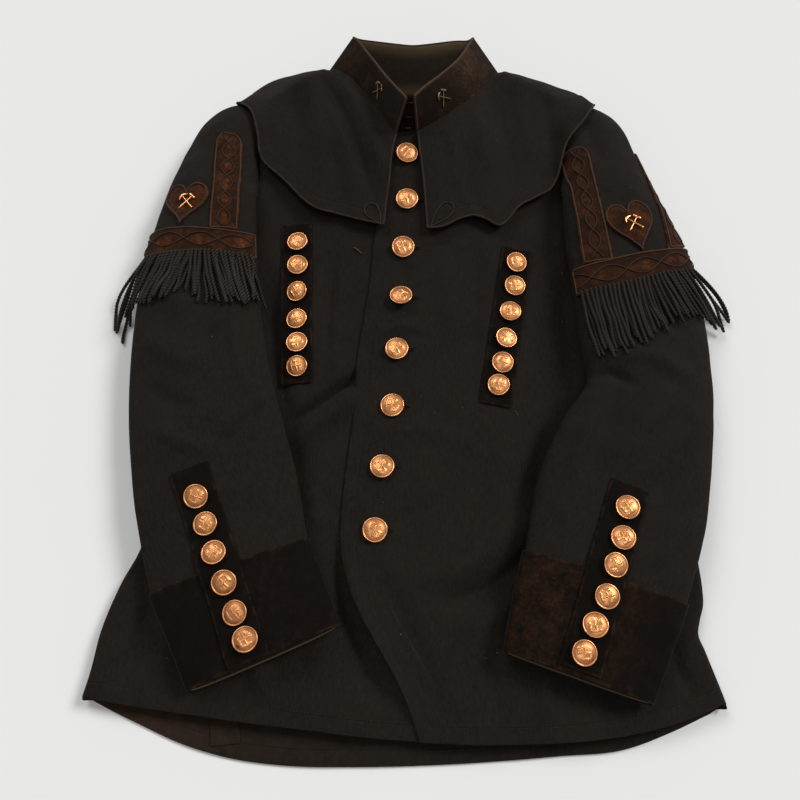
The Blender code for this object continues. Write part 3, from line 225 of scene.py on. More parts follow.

# %% [markdown]
# ### Folds
#
# Cloth that has been worn and folded keeps soft ridges and hollows. Each is a curve with a width and a
# height: the surface rises by the height along the curve and fades with distance from it like a bell, which
# may lean and be steeper on the curve's left. Placing them where they lie on the real tunic says more than
# any random noise.

# %% Ridges and hollows
BODY_FOLDS = {
    "right": [
        Fold([(-40, -12), (-67, -31), (-95, -52), (-125, -76), (-150, -98)], 5, -6.5),
        Fold([(-44, -32), (-92, -70), (-146, -114)], 9, 5.0),
        Fold([(-150, 112), (-146, 40), (-136, -24), (-120, -92), (-102, -182)], 11, -5.5),
        Fold([(-84, 112), (-90, 40), (-90, -24)], 6, -2.6),
        Fold([(-98, 118), (-104, 40), (-104, -20)], 8, 2.0),
        Fold([(-76, -170), (-69, -224), (-50, -275), (-30, -330)], 12, -6.5),
        Fold([(-104, -196), (-94, -240), (-76, -300)], 14, 3.6),
        Fold([(-190, -225), (-150, -270), (-120, -322)], 9, 3.0),
        Fold([(-236, -226), (-240, -262), (-252, -300)], 7, -3.0),
        Fold([(-216, -240), (-214, -300)], 9, 2.6), Fold([(-100, -130), (-90, -175)], 8, 1.6),
    ],
    "left": [
        Fold([(-66, -188), (-56, -230), (-33, -276), (-5, -338)], 8, 6.5, 0.6),
        Fold([(-40, -190), (-24, -240), (0, -290), (16, -340)], 11, -2.6),
        Fold([(104, -168), (84, -200), (48, -224), (6, -236)], 8, -6.0, 1.8),
        Fold([(92, -150), (66, -182), (34, -206), (-4, -218)], 9, 4.2),
        Fold([(104, -206), (60, -240), (14, -262)], 12, 3.4),
        Fold([(142, 96), (143, 30), (146, -36)], 9, -4.5),
        Fold([(136, -34), (116, -84), (92, -168)], 10, -4.6),
        Fold([(60, 120), (50, 30), (44, -30)], 8, -2.2), Fold([(28, 112), (22, 20)], 9, 2.0),
        Fold([(-46, 16), (-20, 23), (8, 20)], 3.4, 1.3), Fold([(-44, 8), (-10, 12), (20, 6)], 3.4, -1.0),
        Fold([(-44, -84), (0, -78), (40, -92)], 8, 1.4),
        Fold([(86, -70), (70, -110), (60, -160)], 9, 2.4),
        Fold([(60, -262), (56, -300), (60, -334)], 8, -2.6),
        Fold([(92, -262), (100, -300), (96, -338)], 7, 2.6),
        Fold([(130, -262), (150, -300), (156, -334)], 9, -2.4),
        Fold([(204, -258), (212, -290), (222, -312)], 7, -2.6), Fold([(186, -262), (196, -300)], 7, 2.2),
        Fold([(40, -120), (10, -150), (-34, -170)], 9, -1.8),
    ],
}
BACK_FOLDS = [
    Fold([(-180, -318), (-176, -344)], 2.2, 1.1), Fold([(-154, -322), (-150, -352)], 2.4, 1.6),
    Fold([(-60, -352), (-20, -330)], 9, 1.4), Fold([(60, -352), (96, -330)], 9, 1.2),
    Fold([(170, -344), (184, -322)], 7, 1.2),
]
SLEEVE_FOLDS = {
    "right": [
        Fold([(-240, -80), (-206, -102), (-174, -108)], 7, 3.0),
        Fold([(-140, -56), (-160, -86), (-184, -104)], 6, -2.6),
        Fold([(-262, 12), (-230, -16), (-196, -26)], 9, 2.6),
        Fold([(-166, 40), (-184, 10), (-206, -8)], 7, -2.4),
        Fold([(-252, -40), (-224, -62), (-196, -68)], 7, -2.4),
        Fold([(-240, 210), (-226, 180), (-216, 160)], 8, 2.2),
        Fold([(-178, 60), (-172, 0), (-156, -60)], 6, 2.2),
        Fold([(-226, -120), (-190, -140), (-150, -146)], 9, 2.0),
        Fold([(-124, -90), (-120, -120), (-126, -156)], 6, -2.4),
        Fold([(-256, 70), (-236, 44), (-214, 24)], 8, 1.8),
        Fold([(-200, 60), (-198, 10), (-186, -44)], 7, -1.6),
        Fold([(-178, 262), (-184, 210), (-176, 160)], 8, -1.6),
    ],
    "left": [
        Fold([(232, -40), (196, -80), (150, -140)], 12, 5.0, 0.7),
        Fold([(240, -92), (214, -124), (186, -152)], 7, -3.6),
        Fold([(244, -152), (214, -184), (188, -210)], 8, 3.4),
        Fold([(226, -176), (204, -202), (180, -220)], 5, -2.4),
        Fold([(160, -26), (196, -16), (252, -44)], 8, 3.0),
        Fold([(151, -40), (170, -34), (196, -50)], 5, -3.0),
        Fold([(160, -62), (142, -96), (124, -132)], 6, 2.8),
        Fold([(226, 190), (216, 170), (206, 150)], 8, 2.0),
        Fold([(206, 44), (226, 20), (250, 0)], 7, -2.6), Fold([(150, 22), (176, 14), (206, 24)], 6, 2.0),
        Fold([(170, 262), (176, 226), (184, 190)], 8, -1.8),
        Fold([(180, -20), (172, -60), (150, -100)], 6, -2.0),
    ],
}
Mound = namedtuple("Mound", "x y height")
SHOULDER_PADS = {"right": [Mound(-132, 314, 10)], "left": [Mound(134, 304, 10), Mound(100, 314, 3)]}
CAPE_FOLDS = {
    "right": [
        Fold([(-112, 326), (-102, 304), (-77, 248), (-55, 181), (-46, 150)], 6, -4.6, 0.8),
        Fold([(-92, 318), (-62, 256), (-40, 190), (-38, 150)], 7, 3.4),
        Fold([(-118, 318), (-110, 270), (-96, 200)], 8, 2.8),
        Fold([(-134, 312), (-130, 256), (-120, 190)], 8, -2.2),
        Fold([(-160, 300), (-152, 260), (-146, 220)], 7, 1.6),
        Fold([(-94, 230), (-84, 190), (-76, 148)], 7, -1.6),
    ],
    "left": [
        Fold([(70, 300), (84, 250), (92, 190), (84, 150)], 8, -3.0),
        Fold([(54, 272), (64, 230), (70, 180)], 7, 2.8), Fold([(26, 240), (36, 200), (36, 150)], 6, 2.0),
        Fold([(106, 312), (108, 260), (118, 200)], 8, 2.8),
        Fold([(134, 306), (134, 258), (138, 206)], 7, -2.2), Fold([(64, 158), (76, 134)], 6, 2.2),
        Fold([(28, 164), (30, 128)], 6, 1.8), Fold([(48, 220), (52, 180), (52, 146)], 6, -1.8),
    ],
}

# %% [markdown]
# ### Curves
#
# A few helpers read these tables. `smooth` draws a cubic curve through knots, `ease` rises softly from 0 to
# 1, and `curve` walks a smooth line through places by its length. All of them take whole arrays.

# %% Reading the tables
def smooth(at, knots):
    """Cubic curve through the knots: between two knots, Hermite's blend of their values and slopes."""
    places = np.array([k.at for k in knots], float)
    values = np.array([k.value for k in knots], float)
    slopes = np.gradient(values, places)
    at = np.clip(np.asarray(at, float), places[0], places[-1])
    i = np.clip(np.searchsorted(places, at) - 1, 0, len(places) - 2)
    span = places[i + 1] - places[i]
    t = (at - places[i]) / span
    return ((1 + 2 * t) * (1 - t) ** 2 * values[i] + t * (1 - t) ** 2 * span * slopes[i]
            + t * t * (3 - 2 * t) * values[i + 1] + t * t * (t - 1) * span * slopes[i + 1])


def straight(at, knots):
    """Straight lines through the knots: between two knots, their values in proportion."""
    return np.interp(at, [k.at for k in knots], [k.value for k in knots])


def ease(low, high, value):
    """0 below low, 1 above high, and 3t^2 - 2t^3 between them."""
    t = np.clip((np.asarray(value, float) - low) / (high - low), 0, 1)
    return t * t * (3 - 2 * t)


def quarter(share):
    """Height of a quarter circle of radius 1 at a share of the way in from its foot: sqrt(1 - (1 - t)^2)."""
    return np.sqrt(1 - (1 - np.clip(share, 0, 1)) ** 2)


def walked(points):
    """Length along a line of points, from the first of them to each."""
    return np.concatenate([[0], np.cumsum(np.linalg.norm(np.diff(points, axis=0), axis=1))])


def along(rows, share, column):
    """One named column of a table, read smoothly at row number `share`."""
    return smooth(share, [Knot(i, getattr(row, column)) for i, row in enumerate(rows)])


def curve(places, shares):
    """Points at shares 0 to 1 of the length of a smooth line through the places."""
    line = np.array([(p.x, p.y) for p in places], float)
    steps = np.linalg.norm(np.diff(line, axis=0), axis=1)
    reached = np.concatenate([[0], np.cumsum(steps)]) / steps.sum()
    return np.stack([smooth(shares, knots_at(*zip(reached, line[:, k]))) for k in (0, 1)], axis=-1)


def fold_height(folds, x, y):
    """Sum of folds: height times exp(-(d / width)^2) at distance d from the curve, fading at both ends."""
    total = np.zeros(np.broadcast(x, y).shape)
    for fold in folds:
        line = curve(places_at(*fold.places), np.linspace(0, 1, 13))
        nearest, share, left = total + 1e9, total * 0, total > 1
        for number, (start, end) in enumerate(zip(line, line[1:])):
            run = end - start
            dx, dy = x - start[0], y - start[1]
            t = np.clip((dx * run[0] + dy * run[1]) / (run @ run), 0, 1)
            away = np.hypot(dx - t * run[0], dy - t * run[1])
            closer = away < nearest
            nearest = np.where(closer, away, nearest)
            share = np.where(closer, (number + t) / 12, share)
            left = np.where(closer, run[0] * dy - run[1] * dx > 0, left)
        width = fold.width * np.where(left, fold.lean, 1.0)
        fading = ease(0, 0.3, share) * ease(0, 0.3, 1 - share)
        total = total + fold.height * fading * np.exp(-(nearest / width) ** 2)
    return total


def ripple(x, y, length, seed):
    """Slow unevenness of cloth: 1.6 times the mean of eight sine waves of about one length, in many ways."""
    chance = np.random.default_rng(seed)
    total = 0
    for _ in range(8):
        turn = chance.uniform(0, math.tau)
        phase = chance.uniform(0, math.tau)
        stretch = chance.uniform(0.7, 1.5)
        way = x * math.cos(turn) + y * math.sin(turn)
        total = total + np.sin(way * math.tau / (length * stretch) + phase)
    return total / 8 * 1.6


print("hem's width:", BACK_HEM[-1].at - BACK_HEM[0].at, "mm")

# %% [markdown]
# ## Cloth as a grid
#
# Every cloth piece is a grid of points: rows one way, columns the other. The `Sheet` holds the middle of the
# cloth and its normals, so that a trim can be laid on it at any row and column. `Shape` holds points, faces,
# the place of each point on the cloth in metres (its UV), and how far the point is from a free edge, which
# the finishes use for wear and for the groove of a hem's seam.

# %% Sheets
def unit(vectors):
    """Vectors made one long; a vector of no length stays so."""
    return vectors / np.maximum(np.linalg.norm(vectors, axis=-1, keepdims=True), 1e-9)


def normals_of(points):
    """Unit normals of a grid: the cross product of the steps along its columns and its rows."""
    return unit(np.cross(np.gradient(points, axis=1), np.gradient(points, axis=0)))


def between(grid, row, column):
    """A grid of points at fractional rows and columns, blended between the four around."""
    rows, columns = grid.shape[:2]
    row, column = np.clip(row, 0, rows - 1), np.clip(column, 0, columns - 1)
    i = np.minimum(np.floor(row).astype(int), rows - 2)
    j = np.minimum(np.floor(column).astype(int), columns - 2)
    s, t = (row - i)[..., None], (column - j)[..., None]
    upper = grid[i, j] * (1 - t) + grid[i, j + 1] * t
    lower = grid[i + 1, j] * (1 - t) + grid[i + 1, j + 1] * t
    return upper * (1 - s) + lower * s


def ruled(first, last, shares):
    """Straight lines from each point of one edge to its partner on the other: (1 - s) first + s last."""
    s = shares[:, None, None]
    return first[None] * (1 - s) + last[None] * s


class Sheet:
    """The middle of a cloth piece, readable between its grid points and liftable along its normals."""

    def __init__(self, points):
        self.points = points
        self.normals = normals_of(points)
        if self.normals[..., 2].mean() < 0:
            self.normals = -self.normals

    def level(self, seam, within, facing, share):
        """Turn the normals along a folded seam level, away from the points within it."""
        outward = self.points[seam] - self.points[within]
        outward[..., 2] = 0
        outward *= facing / np.maximum(np.linalg.norm(outward, axis=-1, keepdims=True), 1e-9)
        share = np.asarray(share)[..., None]
        self.normals[seam] = unit(self.normals[seam] * (1 - share) + outward * share)
        return self

    def normal(self, row, column):
        """The normal at a row and column: the blend of the four around, made one long again."""
        return unit(between(self.normals, row, column))

    def at(self, row, column, lift=0.0):
        """The point at a row and column, lifted off the cloth's middle."""
        row, column = np.broadcast_arrays(np.asarray(row, float), np.asarray(column, float))
        lift = np.asarray(lift)[..., None]
        return between(self.points, row, column) + self.normal(row, column) * lift

    def lengths(self):
        """Millimetres along the cloth from the first column and from the first row, at every point."""
        across = np.linalg.norm(np.diff(self.points, axis=1), axis=2)
        down = np.linalg.norm(np.diff(self.points, axis=0), axis=2)
        across = np.concatenate([np.zeros((len(across), 1)), np.cumsum(across, axis=1)], axis=1)
        down = np.concatenate([np.zeros((1, down.shape[1])), np.cumsum(down, axis=0)], axis=0)
        return across, down

    def area(self):
        """Square millimetres: half the cross product of the two diagonals of every cell."""
        p = self.points
        return np.linalg.norm(np.cross(p[1:, 1:] - p[:-1, :-1], p[1:, :-1] - p[:-1, 1:]), axis=2).sum() / 2


square = Sheet(np.stack([*np.meshgrid([0.0, 10.0], [0.0, 10.0]), np.zeros((2, 2))], axis=-1))
print("a square of cloth with sides of 10 mm:", square.area(), "mm2")


# %% Shapes
def two_triangles(faces):
    """Every face as triangles: its corners 0, 1, 2, and 0, 2, 3 where it has a fourth."""
    return np.concatenate([faces[:, :3], faces[faces[:, 3] >= 0][:, [0, 2, 3]]])


class Shape:
    """Points and faces of one or more surfaces; a triangle's fourth corner is -1."""

    def __init__(self, points, faces, uv=None, edge=None, tone=None, finish=None):
        self.points = np.asarray(points, float).reshape(-1, 3)
        self.faces = np.asarray(faces, int).reshape(-1, 4)
        count = len(self.points)
        self.uv = np.zeros((count, 2)) if uv is None else np.asarray(uv, float).reshape(-1, 2)
        self.edge = np.full(count, FAR) if edge is None else np.asarray(edge, float).ravel()
        self.tone = np.zeros(count) if tone is None else np.asarray(tone, float).ravel()
        self.finish = np.zeros(len(self.faces), int) if finish is None else np.asarray(finish, int)

    def outward(self):
        """Turn the faces if the volume, a sixth of the sum of a . (b x c) over triangles, is negative."""
        a, b, c = (self.points[corner] for corner in two_triangles(self.faces).T)
        if np.einsum("ij,ij->i", a, np.cross(b, c)).sum() < 0:
            quad = self.faces[:, 3] >= 0
            self.faces[quad] = self.faces[quad][:, ::-1]
            self.faces[~quad] = self.faces[~quad][:, [0, 2, 1, 3]]
        return self


def together(shapes):
    """Several shapes as one."""
    starts = np.cumsum([0] + [len(shape.points) for shape in shapes[:-1]])
    faces = [np.where(shape.faces < 0, -1, shape.faces + start) for shape, start in zip(shapes, starts)]
    rest = [[getattr(shape, part) for shape in shapes] for part in ("uv", "edge", "tone", "finish")]
    return Shape(*map(np.concatenate, [[shape.points for shape in shapes], faces, *rest]))


# %% [markdown]
# ### A wall of cloth with rounded rims
#
# Real cloth has a turned or folded edge, never a sharp one. The wall takes the middle surface, moves it out
# and in by half the thickness, and closes its rim with a half circle: each rim point is the boundary point
# plus cos a times the way out plus sin a times the normal, for a from 90 to -90 degrees.

# %% Walls
RIM_TURNS = np.radians([45, 0, -45])


def grid_faces(rows, columns, first=0):
    """Quads of a grid whose points start at number `first`."""
    index = first + np.arange(rows * columns).reshape(rows, columns)
    return np.stack([index[:-1, :-1], index[:-1, 1:], index[1:, 1:], index[1:, :-1]], axis=-1).reshape(-1, 4)


def edge_distance(sheet, free):
    """Millimetres along the cloth to the nearest free edge."""
    across, down = sheet.lengths()
    ways = {"first row": down, "last row": down[-1] - down, "first column": across,
            "last column": across[:, -1:] - across}
    return np.min([ways[name] for name in free] + [np.full(across.shape, FAR)], axis=0)


def wall(sheet, thickness, free, tone=None, bulge=1.0, inside=0):
    """Closed wall of a sheet: two faces and a half-round rim; the inner face can take another finish."""
    rows, columns = sheet.points.shape[:2]
    count = rows * columns
    half = np.broadcast_to(np.asarray(thickness, float) / 2, (rows, columns))[..., None]
    outer = (sheet.points + sheet.normals * half).reshape(-1, 3)
    inner = (sheet.points - sheet.normals * half).reshape(-1, 3)
    index = np.arange(count).reshape(rows, columns)
    loop = np.concatenate([index[0, :-1], index[:-1, -1], index[-1, :0:-1], index[:0:-1, 0]])
    middle = sheet.points.reshape(-1, 3)[loop]
    normal = sheet.normals.reshape(-1, 3)[loop]
    tangent = np.roll(middle, -1, axis=0) - np.roll(middle, 1, axis=0)
    outward = unit(np.cross(tangent, normal))
    centre = sheet.points.reshape(-1, 3).mean(axis=0)
    if np.einsum("ij,ij->i", outward, middle - centre).sum() < 0:
        outward = -outward
    rim_half = half.reshape(-1, 1)[loop]
    rings = [middle + rim_half * (normal * math.sin(a) + outward * math.cos(a) * bulge) for a in RIM_TURNS]
    points = np.concatenate([outer, inner] + rings)

    around = len(loop)
    borders = [2 * count + k * around + np.arange(around) for k in range(len(rings))]
    borders = [loop] + borders + [loop + count]
    rim = [np.stack([np.roll(a, -1), a, b, np.roll(b, -1)], axis=-1) for a, b in zip(borders, borders[1:])]
    upper = grid_faces(rows, columns)
    lower = grid_faces(rows, columns, count)[:, ::-1]
    faces = np.concatenate([upper, lower] + rim)

    across, down = sheet.lengths()
    uv = np.stack([across, down], axis=-1).reshape(-1, 2) * MILLIMETRE
    edge = edge_distance(sheet, free).ravel()
    tone = np.zeros(count) if tone is None else np.broadcast_to(tone, (rows, columns)).ravel()
    spread = [np.concatenate([v, v] + [v[loop]] * len(rings)) for v in (uv, edge, tone)]
    finish = np.zeros(len(faces), int)
    finish[len(upper):len(upper) + len(lower)] = inside
    return Shape(points, faces, *spread, finish).outward()


print("that square as a wall:", len(wall(square, CLOTH, ()).faces), "faces")

# %% [markdown]
# ### Braid, cord and wire
#
# Piping, braid loops, hooks and fringe cords are all a ring carried along a path. At each path point the
# ring stands across the path: side = path direction x surface normal, up = side x direction. A second
# thickness flattens it, and a number of plies with a pitch gives it the bulges of twisted yarn.

# %% A ring carried along a path
PLY_SWELL = 0.26                     # how far the plies stand out, as a share of the radius
# Painted highlight and shade: the plies' crests are painted paler by this share and their grooves darker.
PLY_PAINTED_HIGHLIGHT = 0.6                      # how much paler the yarn is there


def tube(path, radius, normals=(0.0, 0.0, 1.0), sides=8, flat=1.0, closed=False, plies=0, pitch=4.0,
         tone=0.0):
    """Ring at each path point: r (cos a side + flat sin a up); r swells with the plies as they wind.

    The tone rises on the plies' crests and falls in their grooves: a painted highlight and shade.
    """
    path = np.asarray(path, float)
    count = len(path)
    step = np.roll(path, -1, axis=0) - np.roll(path, 1, axis=0) if closed else np.gradient(path, axis=0)
    tangent = unit(step)
    side = unit(np.cross(tangent, np.broadcast_to(normals, path.shape)))
    up = np.cross(side, tangent)
    length = walked(path)
    angle = np.arange(sides) * math.tau / sides
    ridge = np.zeros((count, sides))
    if plies:
        ridge = np.cos(plies * (angle[None] - math.tau * length[:, None] / pitch))
    size = np.broadcast_to(np.asarray(radius, float), (count,))[:, None] * (1 + PLY_SWELL * ridge)
    ring = ((size * np.cos(angle))[..., None] * side[:, None]
            + (size * np.sin(angle))[..., None] * up[:, None] * flat)
    points = (path[:, None] + ring).reshape(-1, 3)
    index = np.arange(count * sides).reshape(count, sides)
    rows = np.concatenate([index, index[:1]]) if closed else index
    after = np.roll(rows, -1, axis=1)
    faces = np.stack([rows[:-1], after[:-1], after[1:], rows[1:]], axis=-1).reshape(-1, 4)
    u = np.repeat(length, sides) * MILLIMETRE
    uv = np.stack([u, np.tile(np.arange(sides) / sides, count)], axis=-1)
    # Painted highlight and shade: the tone rises on the plies' crests and falls in their grooves.
    shade = (tone + PLY_PAINTED_HIGHLIGHT * ridge).ravel()
    if not closed:
        tips = path[[0, -1]] + tangent[[0, -1]] * size.mean() * np.array([[-0.5], [0.5]])
        none = np.full(sides, -1)
        caps = [np.stack([np.full(sides, count * sides + k), row, np.roll(row, -1), none], axis=-1)
                for k, row in enumerate((index[0, ::-1], index[-1]))]
        points = np.concatenate([points, tips])
        faces = np.concatenate([faces] + caps)
        uv = np.concatenate([uv, uv[[0, -1]]])
        shade = np.concatenate([shade, [tone, tone]])
    return Shape(points, faces, uv, None, shade).outward()


print("20 mm of cord:", len(tube([[0, 0, 0], [10, 0, 0], [20, 0, 0]], 1.0).faces), "faces")

# %% [markdown]
# ### The table's height map
#
# Cloth lies on cloth. A map of the highest point over every square millimetre of the table tells each new
# piece what carries it. A grid is laid down by reading it at points under a millimetre apart and keeping the
# maximum in each cell; `relax` then lets a draped sheet bridge the hollows, as stiff wool does.

# %% What lies under a piece
MAP_LOW = np.array([-340.0, -400.0])
MAP_CELLS = (800, 680)
READING_STEP = 0.7


class Ground:
    """Height of all that has been laid down, in cells of one millimetre."""

    def __init__(self, *others):
        self.height = np.zeros(MAP_CELLS)
        for other in others:
            self.height = np.maximum(self.height, other.height)

    def cover(self, points):
        """Lay a grid down: read it at points under 0.7 mm apart, and keep the highest in each cell."""
        rows, columns = points.shape[:2]
        longest = [np.linalg.norm(np.diff(points[..., :2], axis=axis), axis=2).max() for axis in (0, 1)]
        tall, wide = (max(int(np.ceil(step / READING_STEP)), 1) for step in longest)
        row, column = np.meshgrid(np.linspace(0, rows - 1, (rows - 1) * tall + 1),
                                  np.linspace(0, columns - 1, (columns - 1) * wide + 1), indexing="ij")
        spots = between(points, row, column).reshape(-1, 3)
        cell = np.floor(spots[:, :2] - MAP_LOW).astype(int)
        np.maximum.at(self.height, (cell[:, 1], cell[:, 0]), spots[:, 2])
        return self

    def read(self, x, y, reach=0.0):
        """Height at each place, blended between cells; with a reach, the highest within it."""
        x, y = np.asarray(x, float), np.asarray(y, float)
        around = [(0, 0)]
        if reach:
            turns = [k * math.tau / 8 for k in range(8)]
            around += [(reach * math.cos(turn), reach * math.sin(turn)) for turn in turns]
        best = None
        for dx, dy in around:
            a, b = x + dx - MAP_LOW[0] - 0.5, y + dy - MAP_LOW[1] - 0.5
            i, j = np.floor(b).astype(int), np.floor(a).astype(int)
            i, j = np.clip(i, 0, self.height.shape[0] - 2), np.clip(j, 0, self.height.shape[1] - 2)
            s, t = b - i, a - j
            h = self.height
            here = ((h[i, j] * (1 - t) + h[i, j + 1] * t) * (1 - s)
                    + (h[i + 1, j] * (1 - t) + h[i + 1, j + 1] * t) * s)
            best = here if best is None else np.maximum(best, here)
        return best

    def lay(self, x, y, lift, span=1.5):
        """Points on top of everything at (x, y), lifted along the slope's normal, and those normals."""
        x, y = np.asarray(x, float), np.asarray(y, float)
        slope_x = (self.read(x + span, y) - self.read(x - span, y)) / (2 * span)
        slope_y = (self.read(x, y + span) - self.read(x, y - span)) / (2 * span)
        normal = unit(np.stack([-slope_x, -slope_y, np.ones_like(slope_x)], axis=-1))
        height = (self.read(x, y) + self.read(x, y, span)) / 2
        return np.stack([x, y, height], axis=-1) + normal * np.asarray(lift)[..., None], normal


def relax(height, passes):
    """Cloth over what carries it: each point takes its neighbours' mean, but never sinks below the ground."""
    floor = height.copy()
    for _ in range(passes):
        ringed = np.pad(height, 1, mode="edge")
        mean = (ringed[:-2, 1:-1] + ringed[2:, 1:-1] + ringed[1:-1, :-2] + ringed[1:-1, 2:]) / 4
        height = np.maximum(floor, mean)
    return height


def outer_face(sheet, thickness):
    """The cloth's upper face: its middle, moved by half the thickness along the normals."""
    return sheet.points + sheet.normals * thickness / 2


on_table, on_body, on_sleeves, on_top = Ground(), Ground(), Ground(), Ground()
print("each map:", on_table.height.size, "cells")

# %% [markdown]
# ## Finishes
#
# Shader nodes are arithmetic, so they are written here as arithmetic. `Wire` wraps one output of a node, and
# Python's operators on it add Math nodes. `Finish` is one material: its `node` method adds any other node
# from its type, its settings and the values or wires of its sockets.

# %% Wires
def photo_colour(red, green, blue):
    """A colour as seen on screen, 0 to 255, turned to light: ((v + 0.055) / 1.055) to the power 2.4."""
    return tuple(((v / 255 + 0.055) / 1.055) ** 2.4 for v in (red, green, blue)) + (1.0,)


class Wire:
    """One output of a node; each +, - and * with it adds a Math node of that kind to the same finish."""

    def __init__(self, finish, socket):
        self.finish = finish
        self.socket = socket

    def maths(self, operation, first, second=0.0):
        """A Math node that works on one or two values or wires."""
        return self.finish.node("ShaderNodeMath", {"operation": operation}, {0: first, 1: second})

    def __add__(self, other):
        return self.maths("ADD", self, other)

    def __sub__(self, other):
        return self.maths("SUBTRACT", self, other)

    def __rsub__(self, other):
        return self.maths("SUBTRACT", other, self)

    def __mul__(self, other):
        return self.maths("MULTIPLY", self, other)

    __radd__ = __add__
    __rmul__ = __mul__

    def sine(self):
        """The sine of the wire's value in radians."""
        return self.maths("SINE", self)

    def between(self, low, high):
        """0 up to low, 1 from high on, and 3t^2 - 2t^3 between them."""
        return self.finish.node("ShaderNodeMapRange", {"clamp": True, "interpolation_type": "SMOOTHSTEP"},
                                {0: self, 1: low, 2: high, 3: 0.0, 4: 1.0})


print("wool's black on screen, as light:", [round(v, 4) for v in photo_colour(22.5, 20, 17.5)[:3]])


# %% Finishes
class Finish:
    """A material on one shader; `even` holds the sockets that are the same all over."""

    def __init__(self, name, even):
        self.material = bpy.data.materials.new(name)
        self.material.use_nodes = True
        self.nodes = self.material.node_tree.nodes
        self.links = self.material.node_tree.links
        self.shader = self.nodes["Principled BSDF"]
        for socket, value in even.items():
            self.shader.inputs[socket].default_value = value

    def node(self, kind, settings=None, sockets=None, output=0):
        """One node: its settings are set first, then each socket takes a value or a wire."""
        made = self.nodes.new(kind)
        for setting, value in (settings or {}).items():
            setattr(made, setting, value)
        for socket, value in (sockets or {}).items():
            if isinstance(value, Wire):
                self.links.new(value.socket, made.inputs[socket])
            else:
                made.inputs[socket].default_value = value
        return Wire(self, made.outputs[output])

    def place(self, scale=(1, 1, 1)):
        """Place in the object, in metres, stretched by a scale."""
        spot = self.node("ShaderNodeTexCoord", output="Object")
        return self.node("ShaderNodeVectorMath", {"operation": "MULTIPLY"}, {0: spot, 1: scale})

    def cloth(self, scale=(1, 1, 1)):
        """Place on the flat cloth, in metres, stretched by a scale."""
        spot = self.node("ShaderNodeUVMap", {"uv_map": "cloth"})
        return self.node("ShaderNodeVectorMath", {"operation": "MULTIPLY"}, {0: spot, 1: scale})

    def noise(self, where, scale, detail=3.0, rough=0.55):
        """Cloudy values from 0 to 1, about 0.5, with some `scale` lumps to a metre."""
        return self.node("ShaderNodeTexNoise", {}, {"Vector": where, "Scale": scale, "Detail": detail,
                                                   "Roughness": rough})

    def threads(self):
        """The cloth's own coordinates in metres: across it and down it."""
        flat = self.cloth()
        return [self.node("ShaderNodeSeparateXYZ", {}, {0: flat}, axis) for axis in "XY"]

    def reading(self, name):
        """A value kept at each point of the mesh."""
        return self.node("ShaderNodeAttribute", {"attribute_name": name}, output="Fac")

    def mix(self, share, first, second):
        """A colour between two colours."""
        return self.node("ShaderNodeMix", {"data_type": "RGBA", "clamp_factor": True},
                         {0: share, 6: first, 7: second}, 2)

    def wire(self, socket, value):
        """Lead a wire to one of the shader's own sockets."""
        self.links.new(value.socket, self.shader.inputs[socket])

    def raised(self, height, distance):
        """Bump of a height from 0 to 1 that stands for `distance` millimetres."""
        made = self.node("ShaderNodeBump", {}, {"Strength": 1.0, "Distance": distance * MILLIMETRE,
                                                "Height": height}, "Normal")
        self.wire("Normal", made)


# %% [markdown]
# ### Wool
#
# The cloth is a fine black twill, a little brown with age and paler where hems and edges have rubbed. The
# weave is two sine waves across each other on the cloth's own coordinates, slanted to make the twill's
# diagonal. The ageing is slow noise over the nap, which is short noise brushed one way. Rubbed edges, the
# groove of the hem's seam and a facing's paler band read the distance to the free edge.

# %% Wool cloth
TWILL_PITCH = 0.0016                 # metres from one diagonal rib to the next
YARN_PITCH = 0.0009


def wool_finish(name, base, faded, pale_colour, facing=0.0):
    """Base fades by slow noise and wears by the nap and at free edges; the bump adds weave, fuzz and nap."""
    finish = Finish(name, {"Metallic": 0.0, "Sheen Weight": 0.02, "Sheen Roughness": 0.5,
                           "Specular IOR Level": 0.06})
    spot = finish.place()
    u, v = finish.threads()
    twill = ((u + v * 0.55) * (math.tau / TWILL_PITCH)).sine()
    yarn = (v * (math.tau / YARN_PITCH)).sine() * (u * (math.tau / YARN_PITCH)).sine()
    fuzz = finish.noise(spot, 1500.0, 2.0, 0.7)
    nap = finish.noise(finish.cloth((1, 0.35, 1)), 420.0, 3.0, 0.65)
    blotch = finish.noise(spot, 17.0, 5.0, 0.65).between(0.34, 0.68)
    speck = finish.noise(spot, 95.0, 4.0, 0.7).between(0.35, 0.7)
    lint = finish.noise(spot, 260.0, 1.0, 0.4).between(0.815, 0.85)
    edge = finish.reading("edge")
    rubbed = (1 - edge.between(0.0, 1.6)) * finish.noise(spot, 120.0, 3.0).between(0.42, 0.7)
    tone = finish.reading("tone")
    colour = finish.mix(blotch * 0.55 + speck * 0.3, base, faded)
    brushed = (nap - 0.5).between(-0.16, 0.2) * 0.4 + (fuzz - 0.5).between(-0.2, 0.3) * 0.2
    colour = finish.mix(brushed, colour, pale_colour)
    colour = finish.mix(rubbed * 0.5, colour, pale_colour)
    colour = finish.mix(tone * (0.4 + speck * 0.6), colour, photo_colour(58, 42, 31))
    colour = finish.mix(lint * 0.4, colour, photo_colour(120, 112, 100))
    if facing:
        colour = finish.mix((1 - edge.between(0.0, facing)) * 0.8, colour, photo_colour(112, 96, 70))
    finish.wire("Base Color", colour)
    finish.wire("Roughness", 0.86 + blotch * 0.08)
    groove = edge.between(10.4, 11.2) * (1 - edge.between(11.8, 12.6)) * (0.0 if facing else 1.4)
    finish.raised(twill * 0.14 + yarn * 0.1 + fuzz * 0.9 + nap * 0.6 - groove, 0.24)
    return finish


